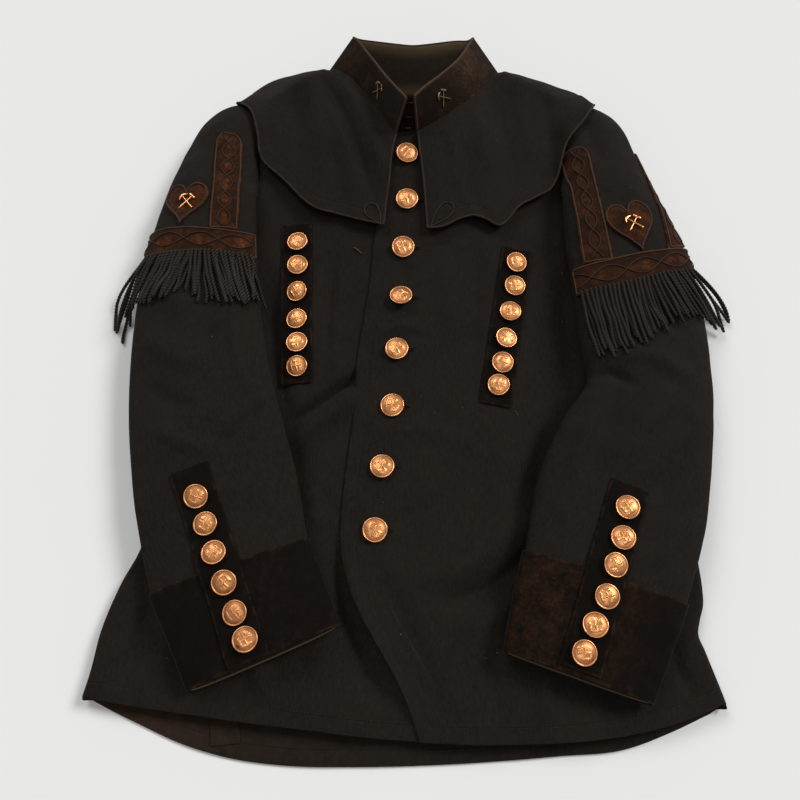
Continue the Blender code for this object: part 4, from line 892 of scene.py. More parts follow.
wool = wool_finish("wool cloth", photo_colour(22.5, 20, 17.5), photo_colour(31, 28, 24.5),
                   photo_colour(42, 37, 31))
print("wool:", len(wool.nodes), "nodes")

# %% [markdown]
# ### Velvet and rubbed ribbon
#
# Velvet is a pile that swallows light and goes brown where it has rubbed down to its ground. Short noise
# makes the pile, longer noise crushes it in streaks down the sleeve, and the edges rub first. The arm
# ribbons have lost most of their pile, so they are red-brown, with orange patches inside the braid loops;
# the tone kept at each point says where those are.

# %% Velvet
def velvet_finish(name, pile, rubbed, bare, wear, streak):
    """Pile turns to rubbed in crushed streaks, and to bare at free edges and where the tone is high."""
    finish = Finish(name, {"Metallic": 0.0, "Sheen Weight": 0.06, "Sheen Roughness": 0.35,
                           "Specular IOR Level": 0.05})
    spot = finish.place()
    hair = finish.noise(spot, 1900.0, 2.0, 0.75)
    crush = finish.noise(finish.place(streak), 60.0, 4.0, 0.65)
    patch = finish.noise(spot, 90.0, 5.0, 0.7)
    edge = finish.reading("edge")
    tone = finish.reading("tone")
    border = (1 - edge.between(0.2, 2.0)) * patch.between(0.42, 0.68)
    share = crush.between(0.42, 0.75) * patch.between(0.35, 0.65) * wear
    fleck = finish.noise(spot, 330.0, 3.0, 0.7).between(0.4, 0.66)
    colour = finish.mix(share, pile, rubbed)
    colour = finish.mix(tone * patch.between(0.3, 0.66) * (0.35 + fleck * 0.65), colour, bare)
    colour = finish.mix(border * 0.7, colour, bare)
    colour = finish.mix(hair.between(0.35, 0.7) * 0.25, colour, rubbed)
    finish.wire("Base Color", colour)
    finish.wire("Roughness", 0.8 + patch * 0.15)
    finish.raised(hair * 0.8 + patch * 0.9, 0.45)
    return finish


velvet = velvet_finish("velvet", photo_colour(13, 10.5, 8.5), photo_colour(33, 25, 19),
                       photo_colour(58, 36, 23), 0.75, (1.6, 0.5, 1))
collar_velvet = velvet_finish("rubbed collar velvet", photo_colour(22, 16, 11.5), photo_colour(54, 39, 27),
                              photo_colour(84, 62, 42), 0.9, (1, 1, 1))
ribbon = velvet_finish("rubbed ribbon", photo_colour(30, 19, 14), photo_colour(62, 37, 24),
                       photo_colour(114, 62, 27), 1.1, (1, 1, 1))
print("velvet:", len(velvet.nodes), "nodes")

# %% [markdown]
# ### Linings
#
# A lining is woven too, so the wool's finish serves again with other colours. The collar's is paler, partly
# as painted light: its colours are lightened to stand in for light inside the collar. It has a wide facing
# along its edges. The sleeves' is dark, with only its turned edge pale at the wrist.

# %% Linings
# Partly painted light: these colours are lighter than the cotton's own, to stand in for light inside the
# collar.
lining = wool_finish("lining", photo_colour(50, 43, 37), photo_colour(60, 51, 43),
                     photo_colour(74, 64, 53), 16.0)
sleeve_lining = wool_finish("sleeve lining", photo_colour(28, 23, 19), photo_colour(40, 33, 27),
                            photo_colour(60, 52, 44), 1.6)
print("linings:", lining.material.name, "and", sleeve_lining.material.name)

# %% [markdown]
# ### Braid, cord and thread
#
# Piping braid and fringe cords are yarns twisted together. Their coordinates run along the cord, so a
# slanted wave across them gives the twist its fine lines between the modelled plies. On the cords the
# crests of the plies carry a painted highlight and the grooves a painted shade, through the tone.

# %% Braid, cord and thread
def yarn_finish(name, dark, light, pitch, gloss, pale_colour=photo_colour(84, 64, 46)):
    """Light and dark by sin(2 pi (u / pitch + v)), the lay of the yarn; the tone turns it to the pale colour.

    On braid and thread that is wear; on a cord's ply crests it is a painted highlight.
    """
    finish = Finish(name, {"Metallic": 0.0, "Sheen Weight": 0.02, "Sheen Roughness": 0.4,
                           "Specular IOR Level": gloss})
    u, v = finish.threads()
    lay = ((u * (math.tau / (pitch * MILLIMETRE))) + v * (2 * math.tau)).sine() * 0.5 + 0.5
    dust = finish.noise(finish.place(), 260.0, 3.0)
    tone = finish.reading("tone")
    colour = finish.mix(lay * 0.5 + dust.between(0.35, 0.7) * 0.5, dark, light)
    colour = finish.mix(tone, colour, pale_colour)
    finish.wire("Base Color", colour)
    finish.wire("Roughness", 0.5 + dust * 0.25)
    finish.raised(lay, 0.25)
    return finish


braid = yarn_finish("braid", photo_colour(34, 27, 22), photo_colour(56, 44, 35), 1.6, 0.1,
                    photo_colour(78, 56, 40))
# The cord's pale colour is mostly a painted highlight, which the tone puts on the plies' crests.
cord = yarn_finish("fringe cord", photo_colour(7, 6, 5), photo_colour(12, 10, 9), 1.3, 0.2,
                   photo_colour(62, 54, 45))
thread = yarn_finish("brown thread", photo_colour(42, 30, 23), photo_colour(66, 47, 36), 0.8, 0.1)
dark_thread = yarn_finish("black thread", photo_colour(16, 13, 11), photo_colour(30, 25, 21), 0.8, 0.1)
print("braid:", len(braid.nodes), "nodes")

# %% [markdown]
# ### Coppered brass
#
# The stamped buttons still shine like new copper where they stand proud, and are dark with old polish in the
# hollows of the relief. The tone kept at each point is the depth of the hollow, plus a painted shade that
# darkens some whole buttons more than others.

# %% Copper
def copper_finish(name, bright, tarnish):
    """Bright metal where the tone is 0, tarnished and rougher where it is 1 and in clouds between."""
    finish = Finish(name, {"Specular IOR Level": 0.5})
    spot = finish.place()
    cloud = finish.noise(spot, 160.0, 4.0, 0.6)
    speck = finish.noise(spot, 900.0, 3.0, 0.6)
    hollow = finish.reading("tone")
    dull = hollow * (0.55 + cloud * 0.5) + cloud.between(0.55, 0.85) * 0.3
    finish.wire("Base Color", finish.mix(dull, bright, tarnish))
    finish.wire("Roughness", 0.2 + cloud * 0.16 + hollow * 0.22)
    finish.wire("Metallic", 1.0 - hollow * 0.35)
    finish.raised(speck, 0.06)
    return finish


copper = copper_finish("coppered brass", (0.97, 0.43, 0.165, 1.0), (0.17, 0.055, 0.02, 1.0))
old_brass = copper_finish("dark brass", (0.28, 0.19, 0.11, 1.0), (0.04, 0.027, 0.017, 1.0))
japanned = Finish("japanned wire", {"Metallic": 0.6, "Specular IOR Level": 0.5})
japanned.wire("Base Color", japanned.mix(japanned.noise(japanned.place(), 700.0).between(0.4, 0.7),
                                         photo_colour(20, 17, 15), photo_colour(60, 50, 40)))
japanned.wire("Roughness", 0.35 + japanned.noise(japanned.place(), 300.0) * 0.3)
print("copper:", len(copper.nodes), "nodes")

# %% [markdown]
# ## From shape to piece
#
# `add_piece` turns a shape to metres, puts it in a mesh with its cloth coordinates and its readings, and
# hides the imported nodes it stands for. `declare` prints the flat size of a cloth piece: the longest row
# and column of its sheet, with 10 mm of seam on every edge, as it would be cut.

# %% Making pieces and printing their cuts
SEAM_ALLOWANCE = 10.0


def add_piece(name, shape, finishes, nodes=()):
    """The shape's mesh, in metres from the frame's origin, with its UV, readings and finishes."""
    mesh = bpy.data.meshes.new(name)
    placed = (shape.points - [ORIGIN[0], ORIGIN[1], 0]) * MILLIMETRE
    corners = shape.faces[shape.faces >= 0]
    sizes = (shape.faces >= 0).sum(axis=1)
    mesh.vertices.add(len(placed))
    mesh.vertices.foreach_set("co", placed.ravel().astype(np.float32))
    mesh.loops.add(len(corners))
    mesh.loops.foreach_set("vertex_index", corners.astype(np.int32))
    mesh.polygons.add(len(sizes))
    mesh.polygons.foreach_set("loop_start", (np.cumsum(sizes) - sizes).astype(np.int32))
    mesh.update(calc_edges=True)
    layer = mesh.uv_layers.new(name="cloth")
    layer.data.foreach_set("uv", shape.uv[corners].ravel().astype(np.float32))
    for reading, values in (("edge", shape.edge), ("tone", shape.tone)):
        mesh.attributes.new(reading, "FLOAT", "POINT").data.foreach_set("value", values.astype(np.float32))
    for finish in finishes:
        mesh.materials.append(finish.material)
    mesh.polygons.foreach_set("material_index", shape.finish.astype(np.int32))
    mesh.shade_smooth()
    piece = bpy.data.objects.new(name, mesh)
    bpy.context.scene.collection.objects.link(piece)
    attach(piece, "root")
    if nodes:
        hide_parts(*nodes)
    return piece


def declare(piece, sheet, allowance=SEAM_ALLOWANCE, cut=None):
    """Flat size of the cut: the longest row by the longest column, or a given size, each with its seams."""
    across, down = sheet.lengths()
    size = cut or (across[:, -1].max(), down[-1].max())
    wide, tall = size[0] + 2 * allowance, size[1] + 2 * allowance
    area = sheet.area() + allowance * 2 * (across[:, -1].mean() + down[-1].mean()) + 4 * allowance ** 2
    wide * MILLIMETRE
    tall * MILLIMETRE
    min(area, wide * tall) * 1e-6
    print(f"{piece.name}: cut {wide:.0f} x {tall:.0f} mm, {min(area, wide * tall) / 100:.0f} cm2")


# %% [markdown]
# ## The body
#
# ### Fronts
#
# A front runs from the side seam over the rolled side fold to its free edge, and from hem to shoulder seam.
# Its height is a hill along the buttons plus the folds. Near the side the columns turn round the fold like
# points on a quarter circle, so the cloth comes down to meet the back.

# %% The body's sides and height
FOLD_TURNS = np.radians(np.linspace(0, 80, 9))
SIGN = {"right": -1, "left": 1}        # the way along x from the middle out to each side


def sleeve_edge_x(side, y):
    """x of the sleeve's inner edge at a height y, straight between its first five stations."""
    rows = SLEEVE[side][:5]
    return straight(y, [Knot(row.inner_y, row.inner_x) for row in reversed(rows)])


def body_edge(side, y):
    """The body's outer boundary: the side fold, and above the armhole's foot the sleeve's inner edge."""
    return np.where(y > ARMHOLE_FOOT, sleeve_edge_x(side, y) - SIGN[side] * ON_CLOTH, smooth(y, SIDE[side]))


def folded_round(y):
    """1 where the side is folded round, easing to 0 from y 96 to 140, where it lies flat under the arm."""
    return 1 - ease(96, 140, y)


def front_height(side, x, y):
    """Upper face: low + (centre - low) * (1 + cos(pi d / reach)) / 2, folded, and rolled at the shoulder.

    No fold sinks into the back: with u the height over it, u becomes (u + sqrt(u^2 + 2^2)) / 2.
    """
    hill = (1 + np.cos(np.pi * np.clip(np.abs(x - FRONT_BUTTONS[0].x) / HILL_REACH, 0, 1))) / 2
    low = smooth(y, SIDE_HEIGHT)
    height = low + (smooth(y, CENTRE_HEIGHT) - low) * hill + 1.35 * fold_height(BODY_FOLDS[side], x, y)
    height = height + ripple(x, y, 58, 3) * 0.9 + ripple(x, y, 23, 4) * 0.34
    carried = 2 * CLOTH + REST + (CLOTH + SEAM) * ease(80, 110, y)
    height = carried + (height - carried + np.hypot(height - carried, 2.0)) / 2
    gap = straight(x, FRONT_TOP[side]) - y
    round_down = quarter(gap / SHOULDER_ROLL)
    beyond_neck = ease(-12, 4, np.sign(NECK_SIDE[side]) * (x - NECK_SIDE[side]))
    seam_height = CLOTH * 3 + SEAM * 2
    return height + (seam_height + (height - seam_height) * round_down - height) * beyond_neck


def side_width(folded, turn):
    """How far in from the boundary a column of the side fold lies, folded round or flat."""
    return CLOTH / 2 + SIDE_FOLD * (folded * (1 - np.cos(turn)) + (1 - folded) * 0.75 * turn / (np.pi / 2))


print("sides at y 0:", [round(float(body_edge(side, 0.0)), 1) for side in SIDES], "mm")


# %% The fronts' sheets
SETTLING_ROUNDS = 14                 # x and y of a row depend on each other, so they are worked out in turn


def front_sheet(side, rows=200, columns=90):
    """Rows from hem to shoulder; a point's x is its share of the way from the side fold to the free edge."""
    sign = SIGN[side]
    turned = len(FOLD_TURNS)
    down = np.linspace(0, 1, rows)[:, None]
    across = np.concatenate([np.zeros(turned), np.linspace(0, 1, columns)])[None, :]
    free = OVERLAP if side == "right" else 0.0
    y = np.full((rows, turned + columns), -100.0)
    for _ in range(SETTLING_ROUNDS):
        inner = body_edge(side, y) - sign * side_width(folded_round(y), np.pi / 2)
        x = inner + (smooth(y, FRONT_EDGE) + free - inner) * across
        foot = smooth(x, FRONT_HEM[side])
        y = foot + (straight(x, FRONT_TOP[side]) - foot) * down
    z = front_height(side, x, y) - CLOTH / 2
    if side == "right":
        z = z - ease(-44, -8, x - smooth(y, FRONT_EDGE)) * FRONT_STEP
    top = z[:, turned].copy()
    seam_z = CLOTH / 2 + SIDE_FOLD + SEAM / 2
    for k, turn in enumerate(FOLD_TURNS):
        folded = folded_round(y[:, k])
        x[:, k] = body_edge(side, y[:, k]) - sign * side_width(folded, turn)
        z[:, k] = top + folded * (seam_z + (top - seam_z) * math.sin(turn) - top)
    sheet = Sheet(np.stack([x, y, z], axis=-1))
    return sheet.level(np.s_[:, 0], np.s_[:, 14], 1, folded_round(y[:, 0]))


fronts = {side: front_sheet(side) for side in SIDES}
print("fronts:", fronts["left"].points.shape[:2], "points each")


# %% The back's sheet
def back_sheet(rows=150, columns=78):
    """Flat on the table, raised over the cape's back, with its sides turned up to the side seams."""
    turned = len(FOLD_TURNS)
    down = np.linspace(0, 1, rows)[:, None]
    across = np.concatenate([np.zeros(turned), np.linspace(0, 1, columns), np.ones(turned)])[None, :]
    y = np.full((rows, columns + 2 * turned), -100.0)
    for _ in range(SETTLING_ROUNDS):
        width = side_width(folded_round(y), np.pi / 2)
        low, high = body_edge("right", y) + width, body_edge("left", y) - width
        x = low + (high - low) * across
        foot = smooth(x, BACK_HEM)
        y = foot + (straight(x, BACK_TOP) - foot) * down
    z = CLOTH / 2 + (CLOTH + SEAM) * ease(86, 114, y) + np.zeros_like(x)
    hem_ripple = (0.5 + 0.5 * ripple(x, y, 70, 8)).clip(0) * ease(-310, -345, y)
    z = z + np.maximum(fold_height(BACK_FOLDS, x, y), 0) + hem_ripple
    seam_z = CLOTH / 2 + SIDE_FOLD - SEAM / 2
    for side, sign, first, step in (("right", -1, 0, 1), ("left", 1, -1, -1)):
        for number, turn in enumerate(FOLD_TURNS):
            k = first + step * number
            folded = folded_round(y[:, k])
            x[:, k] = body_edge(side, y[:, k]) - sign * side_width(folded, turn)
            z[:, k] = z[:, k] + folded * (seam_z - z[:, k]) * (1 - math.sin(turn))
    sheet = Sheet(np.stack([x, y, z], axis=-1))
    sheet.level(np.s_[:, 0], np.s_[:, 12], -1, folded_round(y[:, 0]))
    return sheet.level(np.s_[:, -1], np.s_[:, -13], -1, folded_round(y[:, -1]))


back = back_sheet()
print("back:", back.points.shape[:2], "points")

# %% Making the body
on_table.cover(outer_face(back, CLOTH))
for side in SIDES:
    on_body.cover(outer_face(fronts[side], CLOTH))
back_x = back.points[..., 0]
faded_corner = 0.75 - 0.5 * ease(-230, -150, back_x) - 0.25 * ease(-160, 60, back_x)
back_piece = add_piece("back_cloth", wall(back, CLOTH, ["first row"], faded_corner), [wool], ["back"])
front_walls = {side: wall(fronts[side], CLOTH, ["first row", "last column"]) for side in SIDES}
front_pieces = {side: add_piece(f"front_{side}_cloth", front_walls[side], [wool], [f"front_{side}"])
                for side in SIDES}
declare(back_piece, back)
for side in SIDES:
    declare(front_pieces[side], fronts[side])

# %% [markdown]
# ### Sleeves and cuffs
#
# A sleeve's section is a superellipse, |x|^p + |y|^p = 1, whose power of 2.5 gives a full tube that has
# settled flat. It lies on the front under it and is open at the head, where its two ends meet the armholes.
# At the wrist the under side reaches a little further, so that the opening shows, with the dark lining
# inside it. The velvet cuff is the same surface a little further out.

# %% The sleeves' sheets
WRIST_REACH = {"right": 2.4, "left": 1.0}    # how much further the under side reaches at the wrist
ANGLES = np.radians(np.interp(np.linspace(0, 16, 113), np.arange(17), SLEEVE_ANGLES))


def sleeve_stations(side, rows=216):
    """Station numbers of the rows, closer together at the head."""
    last = len(SLEEVE[side]) - 1.0
    return np.interp(np.linspace(0, 1, rows), [0, 0.16, 1], [0, 1.3, last])


def sleeve_sheet(side):
    """At each station a superellipse: across cos a to the power 2 / p, up sin a to the same power."""
    stations = sleeve_stations(side)[:, None]
    angle = ANGLES[None, :]
    power = 2 / SLEEVE_ROUNDNESS
    lateral = np.sign(np.cos(angle)) * np.abs(np.cos(angle)) ** power
    fullness = np.abs(np.sin(angle)) ** power
    rows = [along(SLEEVE[side], stations, name) for name in Station._fields]
    inner_x, inner_y, outer_x, outer_y, height = rows
    width = np.hypot(outer_x - inner_x, outer_y - inner_y)
    share = (1 + lateral * (1 - CLOTH / width)) / 2
    x = inner_x + (outer_x - inner_x) * share
    y = inner_y + (outer_y - inner_y) * share
    reach = np.where(angle < 0, WRIST_REACH[side], -1.0) * fullness * ease(-1.2, 0, stations - stations.max())
    x = x + SIGN[side] * reach * (outer_y - inner_y) / width
    y = y - reach * np.abs(outer_x - inner_x) / width
    open_head = 1 - ease(3.6, 4.25, stations)
    on_cuff = ease(CUFF_START[side] - 0.5, CUFF_START[side] - 0.1, stations)
    bare = np.full_like(x, CLOTH + SEAM)
    carried = on_body.read(x, y, 9.0) + REST + on_cuff * (CUFF_CLOTH + SEAM)
    ground = relax(np.where(open_head > 0.5, bare, np.maximum(carried, bare)), 60)
    bottom = ground + CLOTH / 2
    top = height - CLOTH / 2 - OUTER_DROOP * ease(0.1, 1.0, lateral)
    crown = 1.4 * fold_height(SLEEVE_FOLDS[side], x, y) + ripple(x, y, 50, 21) * 1.1
    crown = crown + ripple(x, y, 22, 22) * 0.36
    top = np.maximum(top + crown, bottom + 6)
    middle = (bottom + top) / 2
    front_seam = front_height(side, inner_x - SIGN[side] * 2, inner_y) - CLOTH / 2
    back_seam = CLOTH * 1.5 + SEAM
    inner_top = middle + SEAM / 2 + (front_seam - middle) * open_head
    inner_low = middle - SEAM / 2 + (back_seam - middle) * open_head
    end = np.where(lateral > 0, middle, np.where(angle > 0, inner_top, inner_low))
    z = end + (np.where(angle > 0, top, bottom) - end) * fullness
    return Sheet(np.stack([x, y, z], axis=-1))


sleeves = {side: sleeve_sheet(side) for side in SIDES}
print("sleeves:", sleeves["left"].points.shape[:2], "points each")


# %% Finding a place on a sleeve
def on_sleeve(side, x, y):
    """Row and column of a sleeve's sheet at places on its upper side, found by halving the interval."""
    x, y = np.asarray(x, float), np.asarray(y, float)
    low, high = np.zeros_like(x), np.full_like(x, len(SLEEVE[side]) - 1.0)
    for _ in range(36):
        guess = (low + high) / 2
        ix, iy, ox, oy = (along(SLEEVE[side], guess, name) for name in Station._fields[:4])
        beyond = SIGN[side] * ((ox - ix) * (y - iy) - (oy - iy) * (x - ix)) < 0
        low, high = np.where(beyond, guess, low), np.where(beyond, high, guess)
    length = np.hypot(ox - ix, oy - iy)
    share = ((x - ix) * (ox - ix) + (y - iy) * (oy - iy)) / length ** 2
    lateral = np.clip((2 * share - 1) / (1 - CLOTH / length), -0.999, 0.999)
    angle = np.arccos(np.sign(lateral) * np.abs(lateral) ** (SLEEVE_ROUNDNESS / 2))
    row = np.interp(guess, sleeve_stations(side), np.arange(len(sleeve_stations(side))))
    return row, np.interp(angle, ANGLES, np.arange(len(ANGLES)))


def coarse_column(number):
    """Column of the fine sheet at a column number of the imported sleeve."""
    return np.asarray(number, float) * (len(ANGLES) - 1) / (len(SLEEVE_ANGLES) - 1)


print("row and column near the left elbow:", [round(float(v), 1) for v in on_sleeve("left", 200.0, 0.0)])

# %% Making sleeves and cuffs
CUFF_WEAR = {"right": 0.12, "left": 0.75}
cuffs = {}
sleeve_pieces = {}
cuff_pieces = {}
for side in SIDES:
    sheet = sleeves[side]
    start = int(np.searchsorted(sleeve_stations(side), CUFF_START[side]))
    cuffs[side] = Sheet((sheet.points + sheet.normals * (CLOTH / 2 + SEAM + CUFF_CLOTH / 2))[start:])
    sleeve_wall = wall(sheet, CLOTH, ["last row"], bulge=0.3, inside=1)
    sleeve_pieces[side] = add_piece(f"sleeve_{side}_cloth", sleeve_wall, [wool, sleeve_lining],
                                    [f"sleeve_{side}"])
    cuff_tone = CUFF_WEAR[side] * ease(1.6, 0.4, np.abs(ANGLES - 2.2))
    cuff_wall = wall(cuffs[side], CUFF_CLOTH, ["first row", "last row"], cuff_tone)
    cuff_pieces[side] = add_piece(f"cuff_{side}_velvet", cuff_wall, [velvet], [f"cuff_{side}"])
    on_sleeves.cover(outer_face(sheet, CLOTH)).cover(outer_face(cuffs[side], CUFF_CLOTH))
    declare(sleeve_pieces[side], sheet)
    declare(cuff_pieces[side], cuffs[side])

# %% [markdown]
# ### Shoulder cape
#
# Each front lobe of the cape is ruled from its upper edge to its scalloped lower edge and then draped: it
# takes the height of what is under it and is relaxed until it bridges the hollows, but its outer corners hug
# the sleeve heads. At the shoulder it rolls down to meet the cape's back, which lies under the body.

# %% The cape's front lobes
def cape_sheet(side, rows=62, columns=110):
    """Ruled from the upper to the lower edge and laid on the draped ground, with the folds on top.

    Columns are numbered from 0 at the front edge to 14 at the shoulder's end; at 7 the neck ends.
    """
    number = np.linspace(0, 14, columns)
    neck = curve(CAPE_TOP[side][:CAPE_NECK_POINTS], np.clip(number / 7, 0, 1))
    shoulder = curve(CAPE_TOP[side][CAPE_NECK_POINTS - 1:], np.clip(number / 7 - 1, 0, 1))
    upper = np.where(number[:, None] < 7, neck, shoulder)
    lower = curve(CAPE_HEM[side], np.where(number < 7, 0.52 * number / 7, 0.52 + 0.48 * (number - 7) / 7))
    shares = np.interp(np.linspace(0, 1, rows), [0, 0.2, 1], [0, 0.06, 1])
    place = ruled(upper, lower, shares)
    place += (curve(CAPE_EDGE[side], shares) - place[:, 0])[:, None] * np.exp(-number / 2.0)[None, :, None]
    x, y = place[..., 0], place[..., 1]
    seam_z = CLOTH / 2 + SIDE_FOLD + SEAM
    near, far = (np.maximum(on_body.read(x, y, reach), on_sleeves.read(x, y, reach)) for reach in (1.0, 5.0))
    corner = ease(12.4, 14.0, number)[None, :]
    bridged = relax(far, 160)
    height = bridged + (relax(near, 10) - bridged) * corner + REST + CLOTH / 2
    folds = fold_height(CAPE_FOLDS[side], x, y) + ripple(x, y, 46, 31) * 0.8 + ripple(x, y, 22, 32) * 0.3
    height = height + (2.4 + np.maximum(folds, -2.6)) * (1 - corner)
    for mound in SHOULDER_PADS[side]:
        away = ((x - mound.x) / 44) ** 2 + ((y - mound.y) / 26) ** 2
        height = height + (1 - corner) * mound.height * np.exp(-away)
    height = np.maximum(height, seam_z)
    from_fold = np.linalg.norm(place - place[0], axis=-1)
    beyond_neck = ease(6.2, 8.0, number)
    round_down = quarter(from_fold / SHOULDER_ROLL)
    z = height + (seam_z + (height - seam_z) * round_down - height) * beyond_neck[None, :]
    return Sheet(np.stack([x, y, z], axis=-1)).level(np.s_[0], np.s_[14], 1, beyond_neck)


capes = {side: cape_sheet(side) for side in SIDES}
print("cape's lobes:", capes["left"].points.shape[:2], "points each")


# %% The cape's back
def cape_back_sheet(rows=44, shoulder_columns=40, neck_columns=24):
    """Flat under the body, its ends turned up on a quarter circle at the shoulder folds."""
    right = curve(CAPE_TOP["right"][CAPE_NECK_POINTS - 1:], np.linspace(1, 0, shoulder_columns))
    neck = curve(CAPE_BACK_NECK, np.linspace(0, 1, neck_columns))
    left = curve(CAPE_TOP["left"][CAPE_NECK_POINTS - 1:], np.linspace(0, 1, shoulder_columns))
    upper = np.concatenate([right, neck[1:-1], left])
    hem = CAPE_HEM["right"][:1:-1] + CAPE_BACK_HEM + CAPE_HEM["left"][3:]
    lower = curve(hem, np.linspace(0, 1, len(upper)))
    shares = np.interp(np.linspace(0, 1, rows), [0, 0.25, 1], [0, 0.07, 1])
    place = ruled(upper, lower, shares)
    from_fold = np.linalg.norm(place - place[0], axis=-1)
    number = np.arange(len(upper))
    shoulder = np.maximum(1 - ease(shoulder_columns - 8, shoulder_columns, number),
                          ease(len(upper) - shoulder_columns, len(upper) - shoulder_columns + 8, number))
    lift = SIDE_FOLD * (1 - quarter(from_fold / SIDE_FOLD)) * shoulder[None, :]
    sheet = Sheet(np.concatenate([place, (CLOTH / 2 + lift)[..., None]], axis=-1))
    return sheet.level(np.s_[0], np.s_[12], -1, shoulder)


cape_back = cape_back_sheet()
cape_pieces = {side: add_piece(f"cape_{side}_cloth", wall(capes[side], CLOTH, ["last row", "first column"]),
                               [wool], [f"cape_{side}"]) for side in SIDES}
cape_back_piece = add_piece("cape_back_cloth", wall(cape_back, CLOTH, ["last row"]), [wool],
                            ["cape_back"])
declare(cape_back_piece, cape_back)

# %% [markdown]
# ### Collar
#
# The collar stands in a ring of hoops, higher in front. Outside it is velvet, inside it is the lining's
# cotton, lightened partly as painted light, with a paler band along the top, so its wall takes two finishes.

# %% Collar
def collar_sheet(rows=18, columns=201):
    """Ruled from the hoops' low points to their top points: (1 - s) low + s top."""
    place = np.linspace(0, len(COLLAR) - 1, columns)
    low = np.stack([along(COLLAR, place, name) for name in Hoop._fields[:3]], axis=-1)
    top = np.stack([along(COLLAR, place, name) for name in Hoop._fields[3:]], axis=-1)
    return Sheet(ruled(low, top, np.linspace(0, 1, rows)))


collar = collar_sheet()
collar_rows, collar_columns = collar.points.shape[:2]
collar_share = np.linspace(0, 1, collar_columns)[None, :]
rubbed_end = np.exp(-((collar_share - 0.80) / 0.06) ** 2) + 0.5 * np.exp(-((collar_share - 0.24) / 0.07) ** 2)
collar_tone = rubbed_end * np.linspace(0.4, 1, collar_rows)[:, None]
ALL_EDGES = ["first row", "last row", "first column", "last column"]
collar_wall = wall(collar, COLLAR_CLOTH, ALL_EDGES, collar_tone, inside=1)
print("collar:", collar_rows, "rows,", collar_columns, "columns")

# %% [markdown]
# ### Piping
#
# A narrow braid is sewn over the cape's edges and round the collar. It is one tube along the edge of the
# sheet, a little flattened, that hides the turned edge under it. At the cape's front corners it turns in a
# small loop.

# %% Lines for piping and loops
def edge_path(sheet, walks, lift, step=1.5):
    """Points along straight walks over a sheet's rows and columns, resampled to even steps, with normals."""
    rows = np.concatenate([np.linspace(a[0], b[0], 240) for a, b in walks])
    columns = np.concatenate([np.linspace(a[1], b[1], 240) for a, b in walks])
    points = sheet.at(rows, columns, np.full(rows.shape, float(lift)))
    reached = walked(points)
    even = np.linspace(0, reached[-1], max(int(reached[-1] / step), 8))
    rows, columns = np.interp(even, reached, rows), np.interp(even, reached, columns)
    return sheet.at(rows, columns, np.full(rows.shape, float(lift))), sheet.normal(rows, columns)


def loop_outline(tip, end, width, count=44):
    """Teardrop from its tip to its round end: along = (1 - cos t)/2, across = sin t sin(t/2)^1.5 width/2."""
    t = np.linspace(0.06, math.tau - 0.06, count)
    run = np.array(end, float) - tip
    side = np.array([-run[1], run[0]]) / np.linalg.norm(run)
    place = np.array(tip)[None] + run[None] * ((1 - np.cos(t)) / 2)[:, None]
    return place + side[None] * (np.sin(t) * np.sin(t / 2) ** 1.5 * width * 0.65)[:, None]


CORNER_LOOP = {"right": ((-38.5, 124.5), (-52, 147), 15), "left": ((9.5, 121.5), (31, 147), 15)}
print("piping round the collar's top:", round(float(collar.lengths()[0][-1, -1])), "mm")

# %% Making the piping
for side in SIDES:
    on_top.cover(outer_face(capes[side], CLOTH))
for side in SIDES:
    last_row, last_column = capes[side].points.shape[0] - 1.0, capes[side].points.shape[1] - 1.0
    walks = [((0, 0), (last_row, 0)), ((last_row, 0), (last_row, last_column))]
    path, normals = edge_path(capes[side], walks, 0.35)
    shapes = [tube(path, 1.2, normals, 10, 0.9, tone=0.05)]
    tip, end, width = CORNER_LOOP[side]
    line = loop_outline(tip, end, width)
    path, normals = on_top.lay(line[:, 0], line[:, 1], 0.4)
    shapes.append(tube(path, 0.62, normals, 6, 0.85, tone=0.2))
    trim = add_piece(f"cape_{side}_piping", together(shapes), [braid])
    declare(cape_pieces[side], capes[side])

last_row, last_column = collar_rows - 1.0, collar_columns - 1.0
walks = [((0, 0), (last_row, 0)), ((last_row, 0), (last_row, last_column)),
         ((last_row, last_column), (0, last_column))]
path, normals = edge_path(collar, walks, 0.5)
collar_piping = add_piece("collar_piping", tube(path, 1.3, normals, 10, 0.9, tone=0.65), [braid])
collar_piece = add_piece("collar_velvet", collar_wall, [collar_velvet, lining], ["collar"])
declare(collar_piece, collar)

# %% [markdown]
# ### Velvet strips
#
# The rows of buttons sit on strips of velvet, on the chest and from above each cuff down over it. A strip is
# a straight band of places, laid on the body or on the sleeve under it.

# %% Strips on the chest and the cuffs
Strip = namedtuple("Strip", "side top_x top_y foot_x foot_y width")
CHEST_STRIPS = [Strip("right", -124, 136, -117, -33, 29), Strip("left", 97, 108, 68, -55, 29)]
CUFF_STRIPS = [Strip("right", -202, -123, -140, -281, 33), Strip("left", 177, -138, 122, -288, 33)]


def strip_places(row, rows, columns):
    """Grid of places from the strip's top to its foot, and across its width."""
    start = np.array([row.top_x, row.top_y], float)
    run = np.array([row.foot_x, row.foot_y], float) - start
    side = np.array([-run[1], run[0]]) / np.linalg.norm(run)
    down = np.linspace(0, 1, rows)[:, None, None]
    across = np.linspace(-0.5, 0.5, columns)[None, :, None]
    return start + run * down + side * across * row.width


def trim_on_sleeve(side, place, gap, over_cuff=False):
    """Sheet of a trim on the sleeve at these places, stepping up on to the cuff."""
    row, column = on_sleeve(side, place[..., 0], place[..., 1])
    lift = np.full(row.shape, CLOTH / 2 + gap + TRIM / 2)
    if over_cuff:
        start = float(np.searchsorted(sleeve_stations(side), CUFF_START[side]))
        lift = lift + (CUFF_CLOTH + SEAM) * ease(start - 7, start - 2, row)
    return Sheet(sleeves[side].at(row, column, lift))


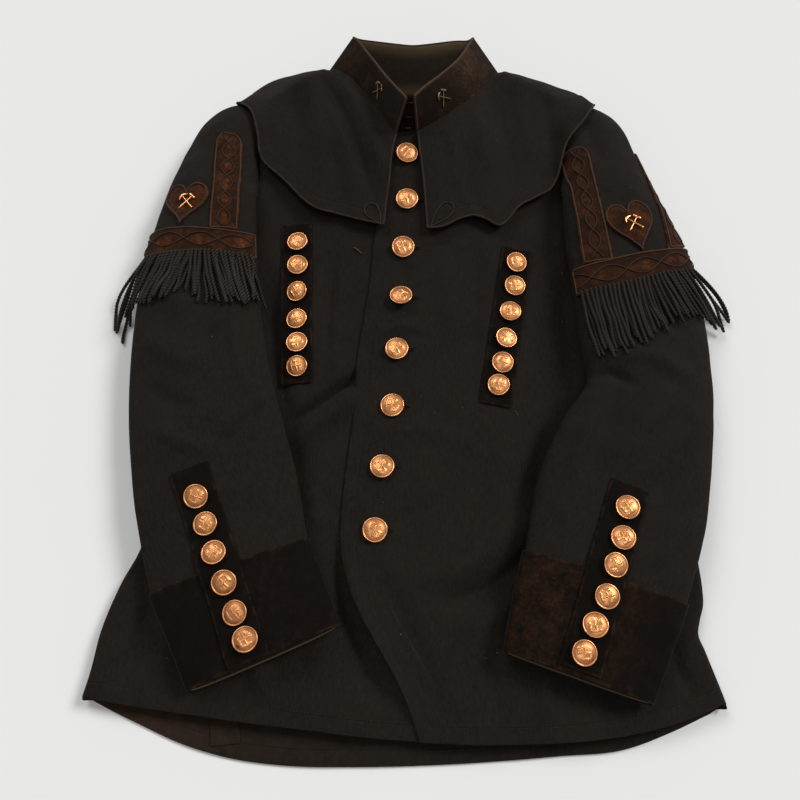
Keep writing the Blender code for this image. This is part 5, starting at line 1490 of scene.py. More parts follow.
chest_base = Ground(on_body)
for row in CHEST_STRIPS:
    place = strip_places(row, 110, 22)
    height = relax(on_body.read(place[..., 0], place[..., 1], 3.0), 30) + ON_CLOTH + TRIM / 2
    sheet = Sheet(np.concatenate([place, height[..., None]], axis=-1))
    piece = add_piece(f"chest_strip_{row.side}_velvet", wall(sheet, TRIM, ALL_EDGES), [velvet],
                      [f"chest_strip_{row.side}"])
    declare(piece, sheet, allowance=4)
    chest_base.cover(outer_face(sheet, TRIM))
sleeve_base = Ground(on_sleeves)
for row in CUFF_STRIPS:
    sheet = trim_on_sleeve(row.side, strip_places(row, 110, 24), ON_CLOTH, True)
    piece = add_piece(f"cuff_strip_{row.side}_velvet", wall(sheet, TRIM, ALL_EDGES), [velvet],
                      [f"cuff_strip_{row.side}"])
    declare(piece, sheet, allowance=4)
    sleeve_base.cover(outer_face(sheet, TRIM))

# %% [markdown]
# ## Ribbon on the arms
#
# Round each upper arm runs a band of velvet ribbon, with upright tabs above it. Braid is sewn along the
# edges, and two more braids cross and part along the middle like a chain of lenses: one follows A sin(pi
# s/h), the other its mirror image. Between them the pile is rubbed to orange.

# %% Ribbon bands and tabs
BAND_UPPER = {
    "right": places_at((-263, 117), (-250, 118), (-230, 117), (-201, 114), (-180, 113), (-162, 113)),
    "left": places_at((260, 101), (247, 97), (213, 89), (179, 81), (146, 74)),
}
BAND_LOWER = {
    "right": places_at((-267, 88), (-249, 88), (-230, 89), (-208, 89), (-185, 87), (-161, 86)),
    "left": places_at((263, 76), (246, 70), (210, 59), (181, 52), (148, 47)),
}
Tab = namedtuple("Tab", "side top_x top_y foot_x foot_y width foot_width")
ARM_TABS = {"arm_tab_right": Tab("right", -195.5, 231, -191, 114.5, 25, 26.5),
            "arm_tab_left_inner": Tab("left", 159, 215, 169.5, 79.5, 23, 27)}
Chain = namedtuple("Chain", "start half height")     # first crossing, from one to the next, half a lens
CHAINS = {"arm_band_right": Chain(2.0, 34.0, 7.5), "arm_band_left": Chain(16.0, 34.5, 7.5),
          "arm_tab_right": Chain(12.0, 20.5, 6.0), "arm_tab_left_inner": Chain(12.0, 22.5, 5.5),
          "arm_tab_left_outer": Chain(14.0, 22.0, 5.0)}
PILE_LEFT = {"right": 1.0, "left": 0.6}            # how much of the rubbing shows on each arm


def band_sheet(side, rows=26, columns=110):
    """Between the band's two edges, on the sleeve's own columns, from the outer end to the inner one."""
    column = coarse_column(np.linspace(6, 15, columns))
    limits = []
    for edge in (BAND_UPPER, BAND_LOWER):
        line = curve(edge[side], np.linspace(0, 1, 40))
        row, where = on_sleeve(side, line[:, 0], line[:, 1])
        order = np.argsort(where)
        limits.append(np.interp(column, where[order], row[order]))
    shares = np.linspace(0, 1, rows)[:, None]
    row = limits[0][None] * (1 - shares) + limits[1][None] * shares
    lift = np.full(row.shape, CLOTH / 2 + ON_CLOTH + TRIM / 2)
    return Sheet(sleeves[side].at(row, np.broadcast_to(column, row.shape), lift)[:, ::-1])


def tab_sheet(tab, rows=26, columns=100):
    """Upright tab with a round top; its long way runs along the columns, from top to foot."""
    place = strip_places(tab, columns, rows)
    middle = place.mean(axis=1, keepdims=True)
    place = middle + (place - middle) * np.linspace(1, tab.foot_width / tab.width, columns)[:, None, None]
    run = np.linalg.norm(middle - middle[:1], axis=-1, keepdims=True)
    place = middle + (place - middle) * quarter((run + 0.3) / (tab.width / 2))
    sheet = trim_on_sleeve(tab.side, place, ON_CLOTH)
    return Sheet(sheet.points.transpose(1, 0, 2))


def edge_tab_sheet(rows=20, columns=90):
    """Tab on the left sleeve's outer edge, from y 221 to the band, coming round the side as it falls."""
    down = np.linspace(0, 1, columns)[:, None]
    across = np.linspace(0, 1, rows)[None, :]
    round_top = quarter((down + 0.002) / 0.1)
    low, high = 5.7 + 1.3 * down, 7.4 + 2.3 * down
    column = low + (high - low) * (0.5 + (across - 0.5) * round_top)
    outer_y = [Knot(-row.outer_y, i) for i, row in enumerate(SLEEVE["left"][:8])]
    station = straight(-(221 - (116 + 11 * across) * down), outer_y)
    row = np.interp(station, sleeve_stations("left"), np.arange(len(sleeve_stations("left"))))
    lift = np.full(row.shape, CLOTH / 2 + 0.3 + TRIM / 2)
    return Sheet(sleeves["left"].at(row, coarse_column(column), lift).transpose(1, 0, 2))


print("tabs:", list(ARM_TABS), "and the outer one")


# %% Braids on the ribbon
def chain_offset(chain, reached):
    """How far a crossing braid is from the ribbon's middle at a length s along it: A sin(pi (s - s0) / h)."""
    return chain.height * np.sin(np.pi * (reached - chain.start) / chain.half)


def chain_tone(sheet, chain):
    """Rubbed where the two crossing braids part, 1.2 to 3.2 mm inside them, in slow patches along the way."""
    across, down = sheet.lengths()
    middle = np.abs(down - down[-1:] / 2)
    opening = np.abs(chain_offset(chain, across))
    inside = ease(1.2, 3.2, opening - middle)
    return 0.2 + inside * (0.55 + 0.3 * np.sin(across * 0.45 + 2))


def ribbon_braids(sheet, chain):
    """Border braid just inside the ribbon's edges, and the two crossing braids along its middle."""
    rows, columns = sheet.points.shape[:2]
    across, down = sheet.lengths()
    wide = down[-1].mean()
    inset = 1.1 / wide * (rows - 1)
    side_inset = 1.1 / across[:, -1].mean() * (columns - 1)
    a, b, c, d = inset, rows - 1 - inset, side_inset, columns - 1 - side_inset
    walks = [((a, c), (a, d)), ((a, d), (b, d)), ((b, d), (b, c)), ((b, c), (a, c))]
    path, normals = edge_path(sheet, walks, TRIM / 2 + 0.35, 1.4)
    shapes = [tube(path[:-1], 0.8, normals[:-1], 6, 0.8, closed=True, tone=0.75)]
    reached = np.arange(3.0, across[rows // 2, -1] - 3.0, 1.2)
    column = np.interp(reached, across[rows // 2], np.arange(columns))
    for turn in (1, -1):
        offset = turn * chain_offset(chain, reached) / wide * (rows - 1)
        row = (rows - 1) / 2 + offset
        lift = TRIM / 2 + 0.3 + 0.35 * (1 + turn * np.cos(np.pi * (reached - chain.start) / chain.half)) / 2
        shapes.append(tube(sheet.at(row, column, lift), 0.62, sheet.normal(row, column), 6, 0.85, tone=0.3))
    return shapes


print("lenses along the right band: one each", CHAINS["arm_band_right"].half, "mm")


# %% Sewing the ribbon on
def sew_ribbon(name, sheet, chain, side):
    """A ribbon's wall and its braids, which then carry whatever is sewn on over them."""
    tone = chain_tone(sheet, chain) * PILE_LEFT[side]
    piece = add_piece(f"{name}_ribbon", wall(sheet, TRIM, ALL_EDGES, tone), [ribbon], [name])
    trim = add_piece(f"{name}_braid", together(ribbon_braids(sheet, chain)), [braid])
    declare(piece, sheet, allowance=2)
    sleeve_base.cover(outer_face(sheet, TRIM))
    return piece


bands = {side: band_sheet(side) for side in SIDES}
for name, tab in ARM_TABS.items():
    sew_ribbon(name, tab_sheet(tab), CHAINS[name], tab.side)
sew_ribbon("arm_tab_left_outer", edge_tab_sheet(), CHAINS["arm_tab_left_outer"], "left")

# %% [markdown]
# ### Cord fringe
#
# Under each band hangs a row of twisted cords. Each cord's way is worked out from where the band's lower
# edge is, how far its end has swung, and what it lies on: it may rise at once but falls only at a limited
# slope, as a stiff cord does past the sleeve's edge. Two rows of cords lie over each other, in loose
# bunches.

# %% Fringe
Swing = namedtuple("Swing", "share dx dy bow")
FRINGE_SWING = {
    "right": [
        Swing(0, -34, -68, -17), Swing(0.05, -29, -70, -13), Swing(0.09, -24, -55, -6),
        Swing(0.16, -20, -49, -2), Swing(0.34, -20, -50, 0), Swing(0.44, -13, -49, 0),
        Swing(0.5, 2, -50, 1), Swing(0.6, 13, -50, 0), Swing(0.82, 17, -50, 0), Swing(1, 9, -49, 3),
    ],
    "left": [
        Swing(0, 37, -30, 14), Swing(0.05, 42, -46, 9), Swing(0.12, 34, -48, 5), Swing(0.22, 26, -43, 3),
        Swing(0.34, 18, -44, 1), Swing(0.48, 11, -50, 0), Swing(0.6, 10, -57, 0), Swing(0.75, 10, -66, 0),
        Swing(1, 13, -64, 0),
    ],
}
CORDS = {"right": 54, "left": 56}
LOOSENESS = {"right": 1.0, "left": 0.5}
CORD_RADIUS = 1.45
CORD_PITCH = 6.2
CORD_STEP = 0.85                     # millimetres from one ring of a cord to the next
CORD_SLOPE = 0.55                    # the steepest that a cord falls
FRINGE_END = 0.985                   # share of the band's lower edge where the fringe ends
FRINGE_SEED = {"right": 5, "left": 6}


def swing(side, share, name):
    """One column of the swing table, straight between its rows by share along the band."""
    rows = FRINGE_SWING[side]
    return np.interp(share, [row.share for row in rows], [getattr(row, name) for row in rows])


def fringe_shapes(side, ground):
    """Cords: x = x0 + dx t^p + bow sin(pi t) + wave + curl, y = y0 + dy t, z on the ground; and a header."""
    chance = np.random.default_rng(FRINGE_SEED[side])
    shapes = []
    for number in range(CORDS[side]):
        share = (number + 0.5) / CORDS[side]
        start = curve(BAND_LOWER[side], np.array([share * FRINGE_END]))[0]
        layer = number % 2
        loose = LOOSENESS[side] * (1 + 1.2 * ease(0.2, 0.0, share))
        bunch = 3.2 * loose * math.sin(math.tau * share * 6.5 + layer * 1.8)
        dx = swing(side, share, "dx") + bunch + chance.normal(0, 2.2) * loose
        dy = swing(side, share, "dy") * (1 + chance.normal(0, 0.06))
        bow = swing(side, share, "bow") + chance.normal(0, 1.2) * loose
        power = chance.uniform(1.1, 1.7)
        length = math.hypot(dx, dy)
        t = np.linspace(0, 1, int(length / CORD_STEP))
        curl = chance.normal(0, 1.8) * loose * t ** 4 * np.sin(2.4 * t + 0.6)
        wave = chance.normal(0, 0.6) * loose * np.sin(math.tau * 1.4 * t)
        x = start[0] + dx * t ** power + bow * np.sin(np.pi * t) + wave + curl
        y = start[1] + 1.5 + dy * t
        z = ground.read(x, y, 1.0) + CORD_RADIUS + 0.2 + layer * 2.2 * (1 - 0.4 * t)
        reached = np.concatenate([[0], np.cumsum(np.hypot(np.diff(x), np.diff(y)))])
        z = np.maximum.accumulate(z + CORD_SLOPE * reached) - CORD_SLOPE * reached
        z = np.convolve(np.pad(z, 6, mode="edge"), np.ones(13) / 13, mode="valid")
        z = np.maximum(z, 1.3 * CORD_RADIUS)
        radius = CORD_RADIUS * (1 + 0.06 * math.sin(3.1 * number)) * np.where(t > 0.98, 0.8, 1.0)
        # The tone of 0.3, raised on the plies' crests by the tube, is a painted highlight on the cord.
        shapes.append(tube(np.stack([x, y, z], axis=-1), radius, sides=8, plies=2,
                           pitch=CORD_PITCH * SIGN[side], tone=0.3))
    path = curve(BAND_LOWER[side], np.linspace(0, FRINGE_END, 80))
    header, normals = ground.lay(path[:, 0], path[:, 1] - 0.8, 0.9)
    shapes.append(tube(header, 1.3, normals, 6, 0.8))
    return shapes


for side in SIDES:
    fringe = add_piece(f"fringe_{side}_cords", together(fringe_shapes(side, on_sleeves)), [cord],
                       [f"fringe_{side}"])
    sew_ribbon(f"arm_band_{side}", bands[side], CHAINS[f"arm_band_{side}"], side)
    print("fringe", side, len(fringe.data.polygons), "faces")

# %% [markdown]
# ### Hearts and emblems
#
# A velvet heart with a braided border sits above each band and carries a crossed hammer and pick, the
# miners' sign. The heart is its outline shrunk to its centre in rings, slightly domed. The tools are tubes
# too: a round handle, a square hammer head and a pick head that curves to two points.

# %% The hearts' sheets
Heart = namedtuple("Heart", "side x y width height turn")
HEARTS = [Heart("right", -231.5, 144.5, 44, 49, 4.0), Heart("left", 205.5, 117, 46, 56, -14.0)]
EMBLEM_SHIFT = {"right": Place(2.6, -1.0), "left": Place(0.0, 0.0)}


def heart_outline(heart, count):
    """x = 16 sin^3 t, y = 13 cos t - 5 cos 2t - 2 cos 3t - cos 4t, scaled, turned and placed."""
    t = np.linspace(0, math.tau, count, endpoint=False)
    x = 16 * np.sin(t) ** 3 / 32.0 * heart.width
    y = (13 * np.cos(t) - 5 * np.cos(2 * t) - 2 * np.cos(3 * t) - np.cos(4 * t) + 2.5) / 29.0 * heart.height
    turn = math.radians(heart.turn)
    return np.stack([heart.x + x * math.cos(turn) + y * math.sin(turn),
                     heart.y - x * math.sin(turn) + y * math.cos(turn)], axis=-1)


def heart_sheet(heart, rings=16, count=120):
    """Rings from the centre out; the last column repeats the first, so the sheet closes on itself."""
    outline = heart_outline(heart, count)
    outline = np.concatenate([outline, outline[:1]])
    shares = np.linspace(0.02, 1, rings)[:, None, None]
    place = np.array([heart.x, heart.y]) + (outline[None] - [heart.x, heart.y]) * shares
    row, column = on_sleeve(heart.side, place[..., 0], place[..., 1])
    lift = CLOTH / 2 + REST + TRIM / 2 + 1.2 * (1 - shares[..., 0] ** 2)
    return Sheet(sleeves[heart.side].at(row, column, lift + np.zeros_like(row)))


print("right heart:", round(heart_sheet(HEARTS[0]).area() / 100, 1), "cm2")


# %% Crossed tools
def tool(kind, spot, right, up, out, size, tone):
    """One tool in shares of its size, head up: a handle of oval section, and a head of 4 or 6 sides."""
    def at(a, b, c):
        """The point a to the right, b up, both times the size, and c out of the cloth."""
        flat = np.multiply.outer(a, right) + np.multiply.outer(b, up)
        return spot + flat * size + np.multiply.outer(c, out)

    t = np.linspace(0, 1, 9)
    handle = tube(at(0 * t, -0.55 + 0.97 * t, 0 * t + 0.8), (0.04 - 0.012 * t) * size, out, 8, 0.8, tone=tone)
    s = np.linspace(-1, 1, 13)
    if kind == "hammer":
        head = at(0.2 * s, 0 * s + 0.4, 0 * s + 0.9)
        width = np.where(np.abs(s) < 0.25, 0.07, 0.09) * np.where(np.abs(s) > 0.98, 0.9, 1.0)
        block = tube(head, width * size, out, 4, 0.55, tone=tone)
    else:
        head = at(0.25 * s, 0.44 - 0.13 * s ** 2, 0 * s + 0.9)
        width = 0.08 * np.sqrt(np.clip(1 - np.abs(s) ** 1.5, 0.02, 1))
        block = tube(head, width * size, out, 6, 0.55, tone=tone)
    return [handle, block]


def crossed_tools(spot, up, out, size, tone=0.0):
    """Hammer and pick turned 42 degrees either way, the pick over the hammer."""
    out = out / np.linalg.norm(out)
    up = up - out * (up @ out)
    up = up / np.linalg.norm(up)
    right = np.cross(up, out)
    shapes = []
    for kind, tilt, lift in (("hammer", 42.0, 0.0), ("pick", -42.0, 0.5)):
        turn = math.radians(tilt)
        along_up = up * math.cos(turn) + right * math.sin(turn)
        along_right = right * math.cos(turn) - up * math.sin(turn)
        shapes += tool(kind, spot + out * lift, along_right, along_up, out, size, tone)
    return together(shapes)


TOOLS_SIZE = 19.0
BADGE_SIZE = 17.0
print("tools:", TOOLS_SIZE, "mm on the hearts,", BADGE_SIZE, "mm on the collar")

# %% Making hearts and badges
for heart in HEARTS:
    sheet = heart_sheet(heart)
    turn = math.radians(heart.turn)
    shape = wall(sheet, TRIM, ["last row"], np.full(sheet.points.shape[:2], 0.45), bulge=0.6)
    outline = heart_outline(heart._replace(width=heart.width - 2.6, height=heart.height - 2.6), 90)
    row, column = on_sleeve(heart.side, outline[:, 0], outline[:, 1])
    lift = np.full(row.shape, CLOTH / 2 + REST + TRIM + 0.45)
    path, normals = sleeves[heart.side].at(row, column, lift), sleeves[heart.side].normal(row, column)
    border = tube(path, 1.0, normals, 6, 0.8, closed=True, tone=0.5)
    trim = add_piece(f"heart_{heart.side}_braid", border, [braid])
    sleeve_base.cover(outer_face(sheet, TRIM))
    shift = EMBLEM_SHIFT[heart.side]
    spot, out = sleeve_base.lay(np.array(heart.x + shift.x), np.array(heart.y + 2.0 + shift.y), 0.2, 6.0)
    emblem = crossed_tools(spot, np.array([math.sin(turn), math.cos(turn), 0]), out, TOOLS_SIZE)
    add_piece(f"heart_{heart.side}_emblem", emblem, [copper], [f"heart_emblem_{heart.side}"])
    piece = add_piece(f"heart_{heart.side}_velvet", shape, [ribbon], [f"heart_{heart.side}"])
    declare(piece, sheet, 0.5, (heart.width, heart.height))

for name, column in (("collar_badge_right", 3.2), ("collar_badge_left", 36.7)):
    row, where = np.array([0.47 * last_row]), np.array([column / 40 * last_column])
    spot = collar.at(row, where, np.array([COLLAR_CLOTH / 2 + 0.1]))[0]
    out = collar.normal(row, where)[0]
    up = collar.at(row + 3, where)[0] - collar.at(row - 3, where)[0]
    add_piece(f"{name}_tools", crossed_tools(spot, up, out, BADGE_SIZE, 0.35), [old_brass], [name])

# %% [markdown]
# ## Buttons
#
# Each button is a stamped shell: a low dome with crossed tools in relief, inside a rolled rim. It is a
# turned surface, rings of points round an axis, whose height also takes the relief: a soft step at a short
# distance from each tool's outline. The same step, read as depth, tells the finish where dark polish has
# gathered.

# %% The stamped relief
BUTTON_RADIUS = 11.0
CHEST_BUTTON_RADIUS = 10.3
BUTTON_ROWS = {
    "chest_button_right": places_at(
        (-122, 115), (-121, 89), (-120, 60), (-119, 31), (-118, 6.5), (-117, -17),
    ),
    "chest_button_left": places_at(
        (94.5, 92), (92, 66.5), (86.5, 39), (81, 11), (76.5, -14), (72, -36.5),
    ),
    "cuff_button_right": places_at(
        (-193, -148.5), (-183, -172), (-174, -196), (-163.5, -220), (-153, -244), (-143.5, -264.5),
    ),
    "cuff_button_left": places_at(
        (172, -158), (166, -183.5), (157, -206), (148, -231), (136.5, -253.5), (126, -274.5),
    ),
}
FIELD = 0.88                     # share of the radius inside the rim
BUTTON_SIDES = 66
BUTTON_RINGS = 22


def bar(x, y, x0, y0, x1, y1, half):
    """1 within `half` of a line from (x0, y0) to (x1, y1), falling to 0 over the next 0.05."""
    run = np.array([x1 - x0, y1 - y0])
    t = np.clip(((x - x0) * run[0] + (y - y0) * run[1]) / (run @ run), 0, 1)
    away = np.hypot(x - x0 - t * run[0], y - y0 - t * run[1])
    return ease(half + 0.05, half, away)


def relief(x, y):
    """Crossed hammer and pick over a low heap of ore, on a disc of radius 1; heights from 0 to 1."""
    tools = np.maximum(bar(x, y, -0.42, -0.44, 0.40, 0.42, 0.035), bar(x, y, 0.42, -0.44, -0.40, 0.42, 0.035))
    hammer = bar(x, y, 0.20, 0.56, 0.56, 0.20, 0.075)
    pick = np.maximum(bar(x, y, -0.60, 0.16, -0.42, 0.42, 0.05), bar(x, y, -0.42, 0.42, -0.14, 0.62, 0.05))
    heap = 0.0
    for a, b, r in ((-0.2, -0.56, 0.13), (0.02, -0.5, 0.15), (0.22, -0.57, 0.12), (-0.06, -0.68, 0.12),
                    (0.12, -0.7, 0.1), (0.0, 0.68, 0.09), (-0.12, 0.74, 0.06), (0.12, 0.74, 0.06)):
        heap = np.maximum(heap, np.sqrt(np.clip(1 - ((x - a) ** 2 + (y - b) ** 2) / r ** 2, 0, 1)) * 0.8)
    return np.maximum.reduce([tools * 0.9, hammer, pick, heap])


print("relief at the middle:", round(float(relief(0.0, 0.0)), 2))


# %% The button's shell
def button_shape(radius):
    """The button round its own axis at (0, 0, 0): field and relief, rolled rim, and a flat back."""
    around = np.arange(BUTTON_SIDES) * math.tau / BUTTON_SIDES
    share = np.linspace(0, FIELD, BUTTON_RINGS + 1)[1:, None]
    x, y = share * np.cos(around), share * np.sin(around)
    lift = relief(x / FIELD, y / FIELD)
    dome = 2.2 + 1.5 * (1 - (share / FIELD) ** 2)
    field = np.stack([x * radius, y * radius, dome + 0.5 * lift], axis=-1)
    hollow = (1 - lift) * (0.35 + 0.65 * ease(0.6, 1.0, share / FIELD))
    turns = np.radians([150, 115, 80, 45, 10, -25, -60, -90])[:, None]
    rim_share, rim = 0.94, 0.062
    ring = rim_share + rim * np.cos(turns) * np.ones_like(around)
    rims = np.stack([ring * np.cos(around) * radius, ring * np.sin(around) * radius,
                     2.0 + rim * radius * np.sin(turns) * np.ones_like(around)], axis=-1)
    backs = np.stack([np.array([[0.85], [0.4]]) * np.cos(around) * radius,
                      np.array([[0.85], [0.4]]) * np.sin(around) * radius,
                      np.array([[0.7], [0.1]]) * np.ones_like(around)], axis=-1)
    rings = np.concatenate([field, rims, backs])
    tone = np.concatenate([hollow, np.where(np.degrees(turns) > 130, 0.9, 0.05) * np.ones_like(around),
                           np.full((2, BUTTON_SIDES), 0.8)])
    points = np.concatenate([rings.reshape(-1, 3), [[0, 0, 3.7], [0, 0, 0.1]]])
    tone = np.concatenate([tone.ravel(), [0.2, 0.8]])
    index = np.arange(rings.shape[0] * BUTTON_SIDES).reshape(-1, BUTTON_SIDES)
    after = np.roll(index, -1, axis=1)
    quads = np.stack([index[:-1], index[1:], after[1:], after[:-1]], axis=-1).reshape(-1, 4)
    top, low = len(points) - 2, len(points) - 1
    fans = [np.stack([np.full(BUTTON_SIDES, pole), first, second, np.full(BUTTON_SIDES, -1)], axis=-1)
            for pole, first, second in ((top, index[0], after[0]), (low, after[-1], index[-1]))]
    return Shape(points, np.concatenate([quads] + fans), None, None, tone).outward()


front_button = button_shape(BUTTON_RADIUS)
row_button = button_shape(CHEST_BUTTON_RADIUS)
print("button:", len(front_button.faces), "faces")


# %% Sewing the buttons on
def seat_button(name, shape, ground, x, y, radius, spin, tilt, painted_shade):
    """Spin a button, tilt it, and stand it on the highest ground under its rim; painted shade darkens and
    dulls it.
    """
    angle = np.arange(12) * math.tau / 12
    _, out = ground.lay(np.array(x), np.array(y), 0.0, radius * 0.7)
    out = out + np.array([math.tan(math.radians(tilt[0])), math.tan(math.radians(tilt[1])), 0])
    out /= np.linalg.norm(out)
    right = np.cross([0, 1, 0], out)
    right /= np.linalg.norm(right)
    up = np.cross(out, right)
    rim = (np.multiply.outer(np.cos(angle), right) * radius * 0.8
           + np.multiply.outer(np.sin(angle), up) * radius * 0.8)
    base = (ground.read(x + rim[:, 0], y + rim[:, 1]) - rim[:, 2]).max()
    turn = math.radians(spin)
    flat = shape.points @ np.array([[math.cos(turn), math.sin(turn), 0], [-math.sin(turn), math.cos(turn), 0],
                                    [0, 0, 1]])
    points = flat @ np.stack([right, up, out]) + [x, y, base + SEAM]
    # Painted shade: a higher tone turns the whole button darker, less metallic and rougher.
    turned = Shape(points, shape.faces, None, None, np.clip(shape.tone + painted_shade, 0, 1))
    return add_piece(name + "_shell", turned, [copper], [name])


# Degrees that each front button is turned, and that it leans towards x and y; then each one's painted shade.
SPINS = [12, -35, 64, 5, -18, 30, -8, 20]
TILTS = [(6, 2), (-3, 4), (5, -4), (-2, 18), (3, 3), (-6, -3), (2, 5), (4, -2)]
PAINTED_BUTTON_SHADE = {
    "front_button": [0.25, 0.05, 0.12, 0.1, 0, 0, 0, 0.1],
    "chest_button_right": [0.1, 0.15, 0, 0, 0, 0.05],
    "chest_button_left": [0.3, 0.14, 0, 0, 0.1, 0],
    "cuff_button_right": [0.12, 0.2, 0.2, 0.24, 0.26, 0.28],
    "cuff_button_left": [0, 0, 0, 0, 0, 0.05],
}
for number, place in enumerate(FRONT_BUTTONS):
    seat_button(f"front_button_{number + 1}", front_button, on_body, place.x, place.y, BUTTON_RADIUS,
                SPINS[number], TILTS[number], PAINTED_BUTTON_SHADE["front_button"][number])
for k, (name, places) in enumerate(BUTTON_ROWS.items()):
    ground = chest_base if name.startswith("chest") else sleeve_base
    for number, place in enumerate(places):
        tilt = (6 * math.sin(2.1 * number + k), 6 * math.cos(1.7 * number + 2 * k))
        seat_button(f"{name}_{number + 1}", row_button, ground, place.x, place.y, CHEST_BUTTON_RADIUS,
                    57 * k + 83 * number, tilt, PAINTED_BUTTON_SHADE[name][number])
print("buttons:", len(FRONT_BUTTONS), "in front and", sum(map(len, BUTTON_ROWS.values())), "in rows")

# %% [markdown]
# ## Sewing
#
# Small sewing makes cloth believable: the hem's stitches, a worked buttonhole beside each button, the facing
# of the back's vent, hooks and eyes under the collar, and two loose threads. A stitch is a short arched bead
# of a dozen faces, laid along a line at even steps.

# %% Stitches
def stitch_line(line, ground, every=3.0, length=2.4, radius=0.26):
    """Beads along a line of places: a ring of four points at two stations and a point at each end."""
    reached = walked(line)
    even = np.arange(every, reached[-1] - every, every)
    (spot, normal), (ahead, _) = (
        ground.lay(np.interp(walked, reached, line[:, 0]), np.interp(walked, reached, line[:, 1]), 0.1, 2.0)
        for walked in (even, even + 0.5))
    run = unit(ahead - spot)
    side = np.cross(run, normal)
    bead = np.array([[-0.5, 0, -0.6]] + [[a, b, c] for a in (-0.28, 0.28)
                                         for b, c in ((1, 0), (0, 1), (-1, 0), (0, -1))] + [[0.5, 0, -0.6]])
    points = (spot[:, None] + bead[None, :, :1] * length * run[:, None]
              + bead[None, :, 1:2] * radius * side[:, None] + bead[None, :, 2:] * radius * normal[:, None])
    faces = [[0, 1 + k, 1 + (k + 1) % 4, -1] for k in range(4)]
    faces += [[1 + k, 5 + k, 5 + (k + 1) % 4, 1 + (k + 1) % 4] for k in range(4)]
    faces += [[9, 5 + (k + 1) % 4, 5 + k, -1] for k in range(4)]
    faces = np.array(faces)
    starts = 10 * np.arange(len(even))[:, None, None]
    uv = np.tile(bead[:, :2] * 0.001, (len(even), 1))
    return Shape(points, np.where(faces < 0, -1, faces + starts), uv).outward()


def hem_line(hem, low, high, inset):
    """Places along a hem's curve between two values of x, moved up by the inset."""
    x = np.linspace(low, high, 200)
    return np.stack([x, smooth(x, hem) + inset], axis=-1)


seams = [stitch_line(hem_line(FRONT_HEM["right"], -270, -16, 12), on_body),
         stitch_line(hem_line(FRONT_HEM["left"], 10, 238, 11), on_body),
         stitch_line(hem_line(BACK_HEM, -270, 236, 9), on_table)]
add_piece("hem_stitches", together(seams), [thread])
print("stitches:", sum(len(seam.points) for seam in seams) // 10)

# %% Buttonholes, the vent's facing and loose threads
holes = []
for place in FRONT_BUTTONS:
    t = np.linspace(0, math.tau, 40, endpoint=False)
    x = place.x + 10 + 6.4 * np.sign(np.cos(t)) * np.abs(np.cos(t)) ** 0.6
    y = place.y - 0.5 + 0.9 * np.sin(t)
    path, normals = on_body.lay(x, y, 0.35)
    holes.append(tube(path, 0.6, normals, 6, 0.9, closed=True))
add_piece("buttonholes", together(holes), [dark_thread])

FACING = strip_places(Strip("right", -168, -296, -162, -344, 23), 24, 14)
facing_points, _ = on_table.lay(FACING[..., 0], FACING[..., 1], 0.75)
facing = Sheet(facing_points)
facing_wall = wall(facing, 1.0, ["first column", "last column"], 0.4)
facing_piece = add_piece("vent_facing", facing_wall, [wool])
declare(facing_piece, facing, allowance=1)

lint = []
for walk, height in (([(-66, 107), (-62.5, 105), (-58, 100.5)], 0.85),
                     ([(86, -61), (88, -62), (88.5, -65)], 0.5)):
    line = curve(places_at(*walk), np.linspace(0, 1, 16))
    path, normals = on_body.lay(line[:, 0], line[:, 1], height)
    lint.append(tube(path, height, normals, 6, 0.8, tone=0.9))
add_piece("loose_threads", together(lint), [thread])

# %% Hooks and eyes under the collar
WIRE_RADIUS = 0.42
WIRE_FACING = np.array([0.0, -1.0, 0.3])
# A dark velvet underlap behind the collar's front gap, put there partly as painted shade for the dark inside
# the neck.
SHADE_UNDERLAP_CORNERS = [[(-25.0, 226, 48.5), (-0.8, 229.4, 48.5)], [(-14, 240.4, 82.6), (-5.9, 242, 82.6)]]
corners = np.array(SHADE_UNDERLAP_CORNERS, float)
row, column = np.meshgrid(np.linspace(0, 1, 16), np.linspace(0, 1, 12), indexing="ij")
shade_underlap = Sheet(between(corners, row, column))
shade_underlap_piece = add_piece("underlap_painted_shade", wall(shade_underlap, 1.0, (), 0.5), [velvet])
declare(shade_underlap_piece, shade_underlap, allowance=2)

HOOKS = [(-10.4, 236.4, 78.0), (-12.0, 230.0, 65.0), (-12.4, 225.0, 55.0)]
wires = []
for x, y, z in HOOKS:
    t = np.linspace(0, 1.6 * math.pi, 22)
    eye = np.stack([x - 3.4 * np.cos(t), y + 0.5 - 1.2 * np.sin(t), z + 2.0 * np.sin(t)], axis=-1)
    hook = np.stack([x + 3.0 * np.cos(t * 0.9), y + 0.9 + 0.8 * np.sin(t), z - 1.4 * np.sin(t * 0.9)],
                    axis=-1)
    wires += [tube(eye, WIRE_RADIUS, WIRE_FACING, 6), tube(hook, WIRE_RADIUS, WIRE_FACING, 6)]
add_piece("hooks_and_eyes", together(wires), [japanned])
print("hooks:", len(HOOKS))

# %% [markdown]
# ## Light, floor and camera
#
# The tunic lies on a plain pale floor. Two broad soft lamps shine across it from beyond the collar, the
# stronger one from the wearer's left, so that every fold has a shaded side. A weak third lamp above and an
# even sky fill the shadows. The camera looks down from the hem's side, 20 degrees off the vertical, as the
# photographer's did.

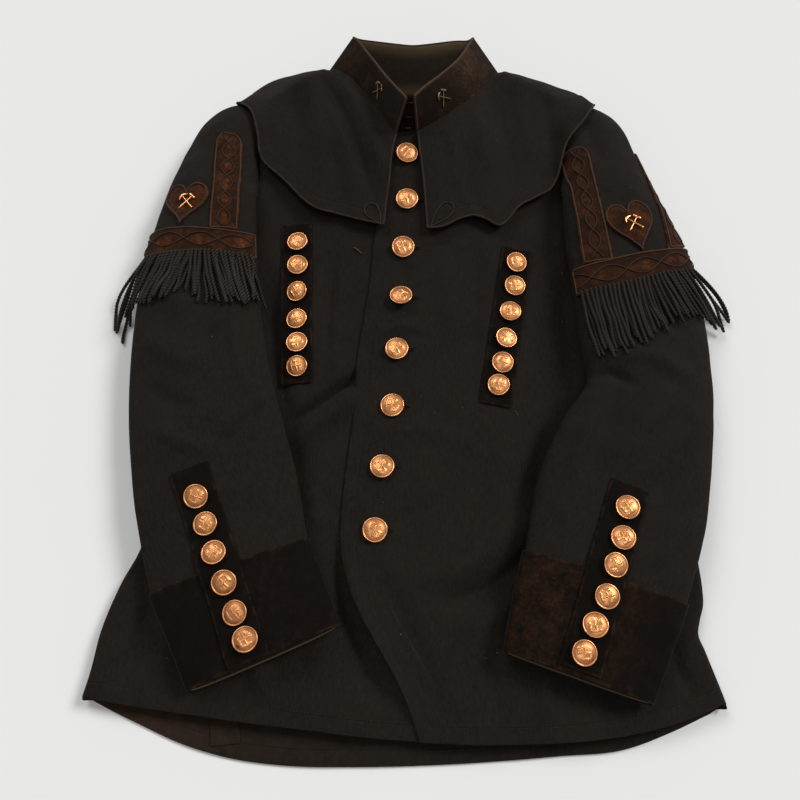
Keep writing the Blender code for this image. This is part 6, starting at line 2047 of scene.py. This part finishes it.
# %% Floor
FLOOR_REACH = 4
FLOOR_Z = -0.0004
floor_mesh = bpy.data.meshes.new("floor")
ways = [(-1, -1), (1, -1), (1, 1), (-1, 1)]
floor_corners = [(FLOOR_REACH * east, FLOOR_REACH * north, FLOOR_Z) for east, north in ways]
floor_mesh.from_pydata(floor_corners, [], [(0, 1, 2, 3)])
floor = bpy.data.objects.new("floor", floor_mesh)
bpy.context.scene.collection.objects.link(floor)
paper = Finish("pale paper", {"Specular IOR Level": 0.1})
paper.wire("Base Color", paper.mix(paper.noise(paper.place(), 4.0), (0.80, 0.80, 0.80, 1),
                                   (0.815, 0.815, 0.815, 1)))
paper.wire("Roughness", 0.9 + paper.noise(paper.place(), 300.0) * 0.1)
floor_mesh.materials.append(paper.material)
print("floor:", 2 * FLOOR_REACH, "m wide")

# %% Lamps
scene = bpy.context.scene
world = bpy.data.worlds.new("studio")
world.use_nodes = True
world.node_tree.nodes["Background"].inputs["Color"].default_value = (1.0, 0.99, 0.97, 1)
world.node_tree.nodes["Background"].inputs["Strength"].default_value = 0.27
scene.world = world
Lamp = namedtuple("Lamp", "name east north up strength angle")
LAMPS = [Lamp("key_lamp", 0.62, 0.36, 0.60, 1.9, 20), Lamp("fill_lamp", -0.36, 0.55, 0.62, 1.0, 28),
         Lamp("top_lamp", 0.05, -0.20, 0.95, 0.40, 25)]
for row in LAMPS:
    lamp = bpy.data.lights.new(row.name, "SUN")
    lamp.energy = row.strength
    lamp.angle = math.radians(row.angle)
    lamp_object = bpy.data.objects.new(row.name, lamp)
    lamp_object.rotation_euler = Vector((row.east, row.north, row.up)).to_track_quat("Z", "Y").to_euler()
    scene.collection.objects.link(lamp_object)
print("lamps:", [row.name for row in LAMPS])

# %% Camera
CAMERA_TILT = math.radians(20)
CAMERA_REACH = 0.723                 # metres from the lens to the place that it looks at
CAMERA_AIM = (-0.0179, -0.0423)
camera_data = bpy.data.cameras.new("camera")
camera_data.sensor_width = 36
camera_data.lens = 34.2
camera = bpy.data.objects.new("camera", camera_data)
camera.location = (CAMERA_AIM[0], CAMERA_AIM[1] - CAMERA_REACH * math.sin(CAMERA_TILT),
                   CAMERA_REACH * math.cos(CAMERA_TILT))
camera.rotation_euler = (CAMERA_TILT, 0, 0)
scene.collection.objects.link(camera)
scene.camera = camera
scene.view_settings.view_transform = "Standard"
print("camera:", [round(v, 3) for v in camera.location], "m")
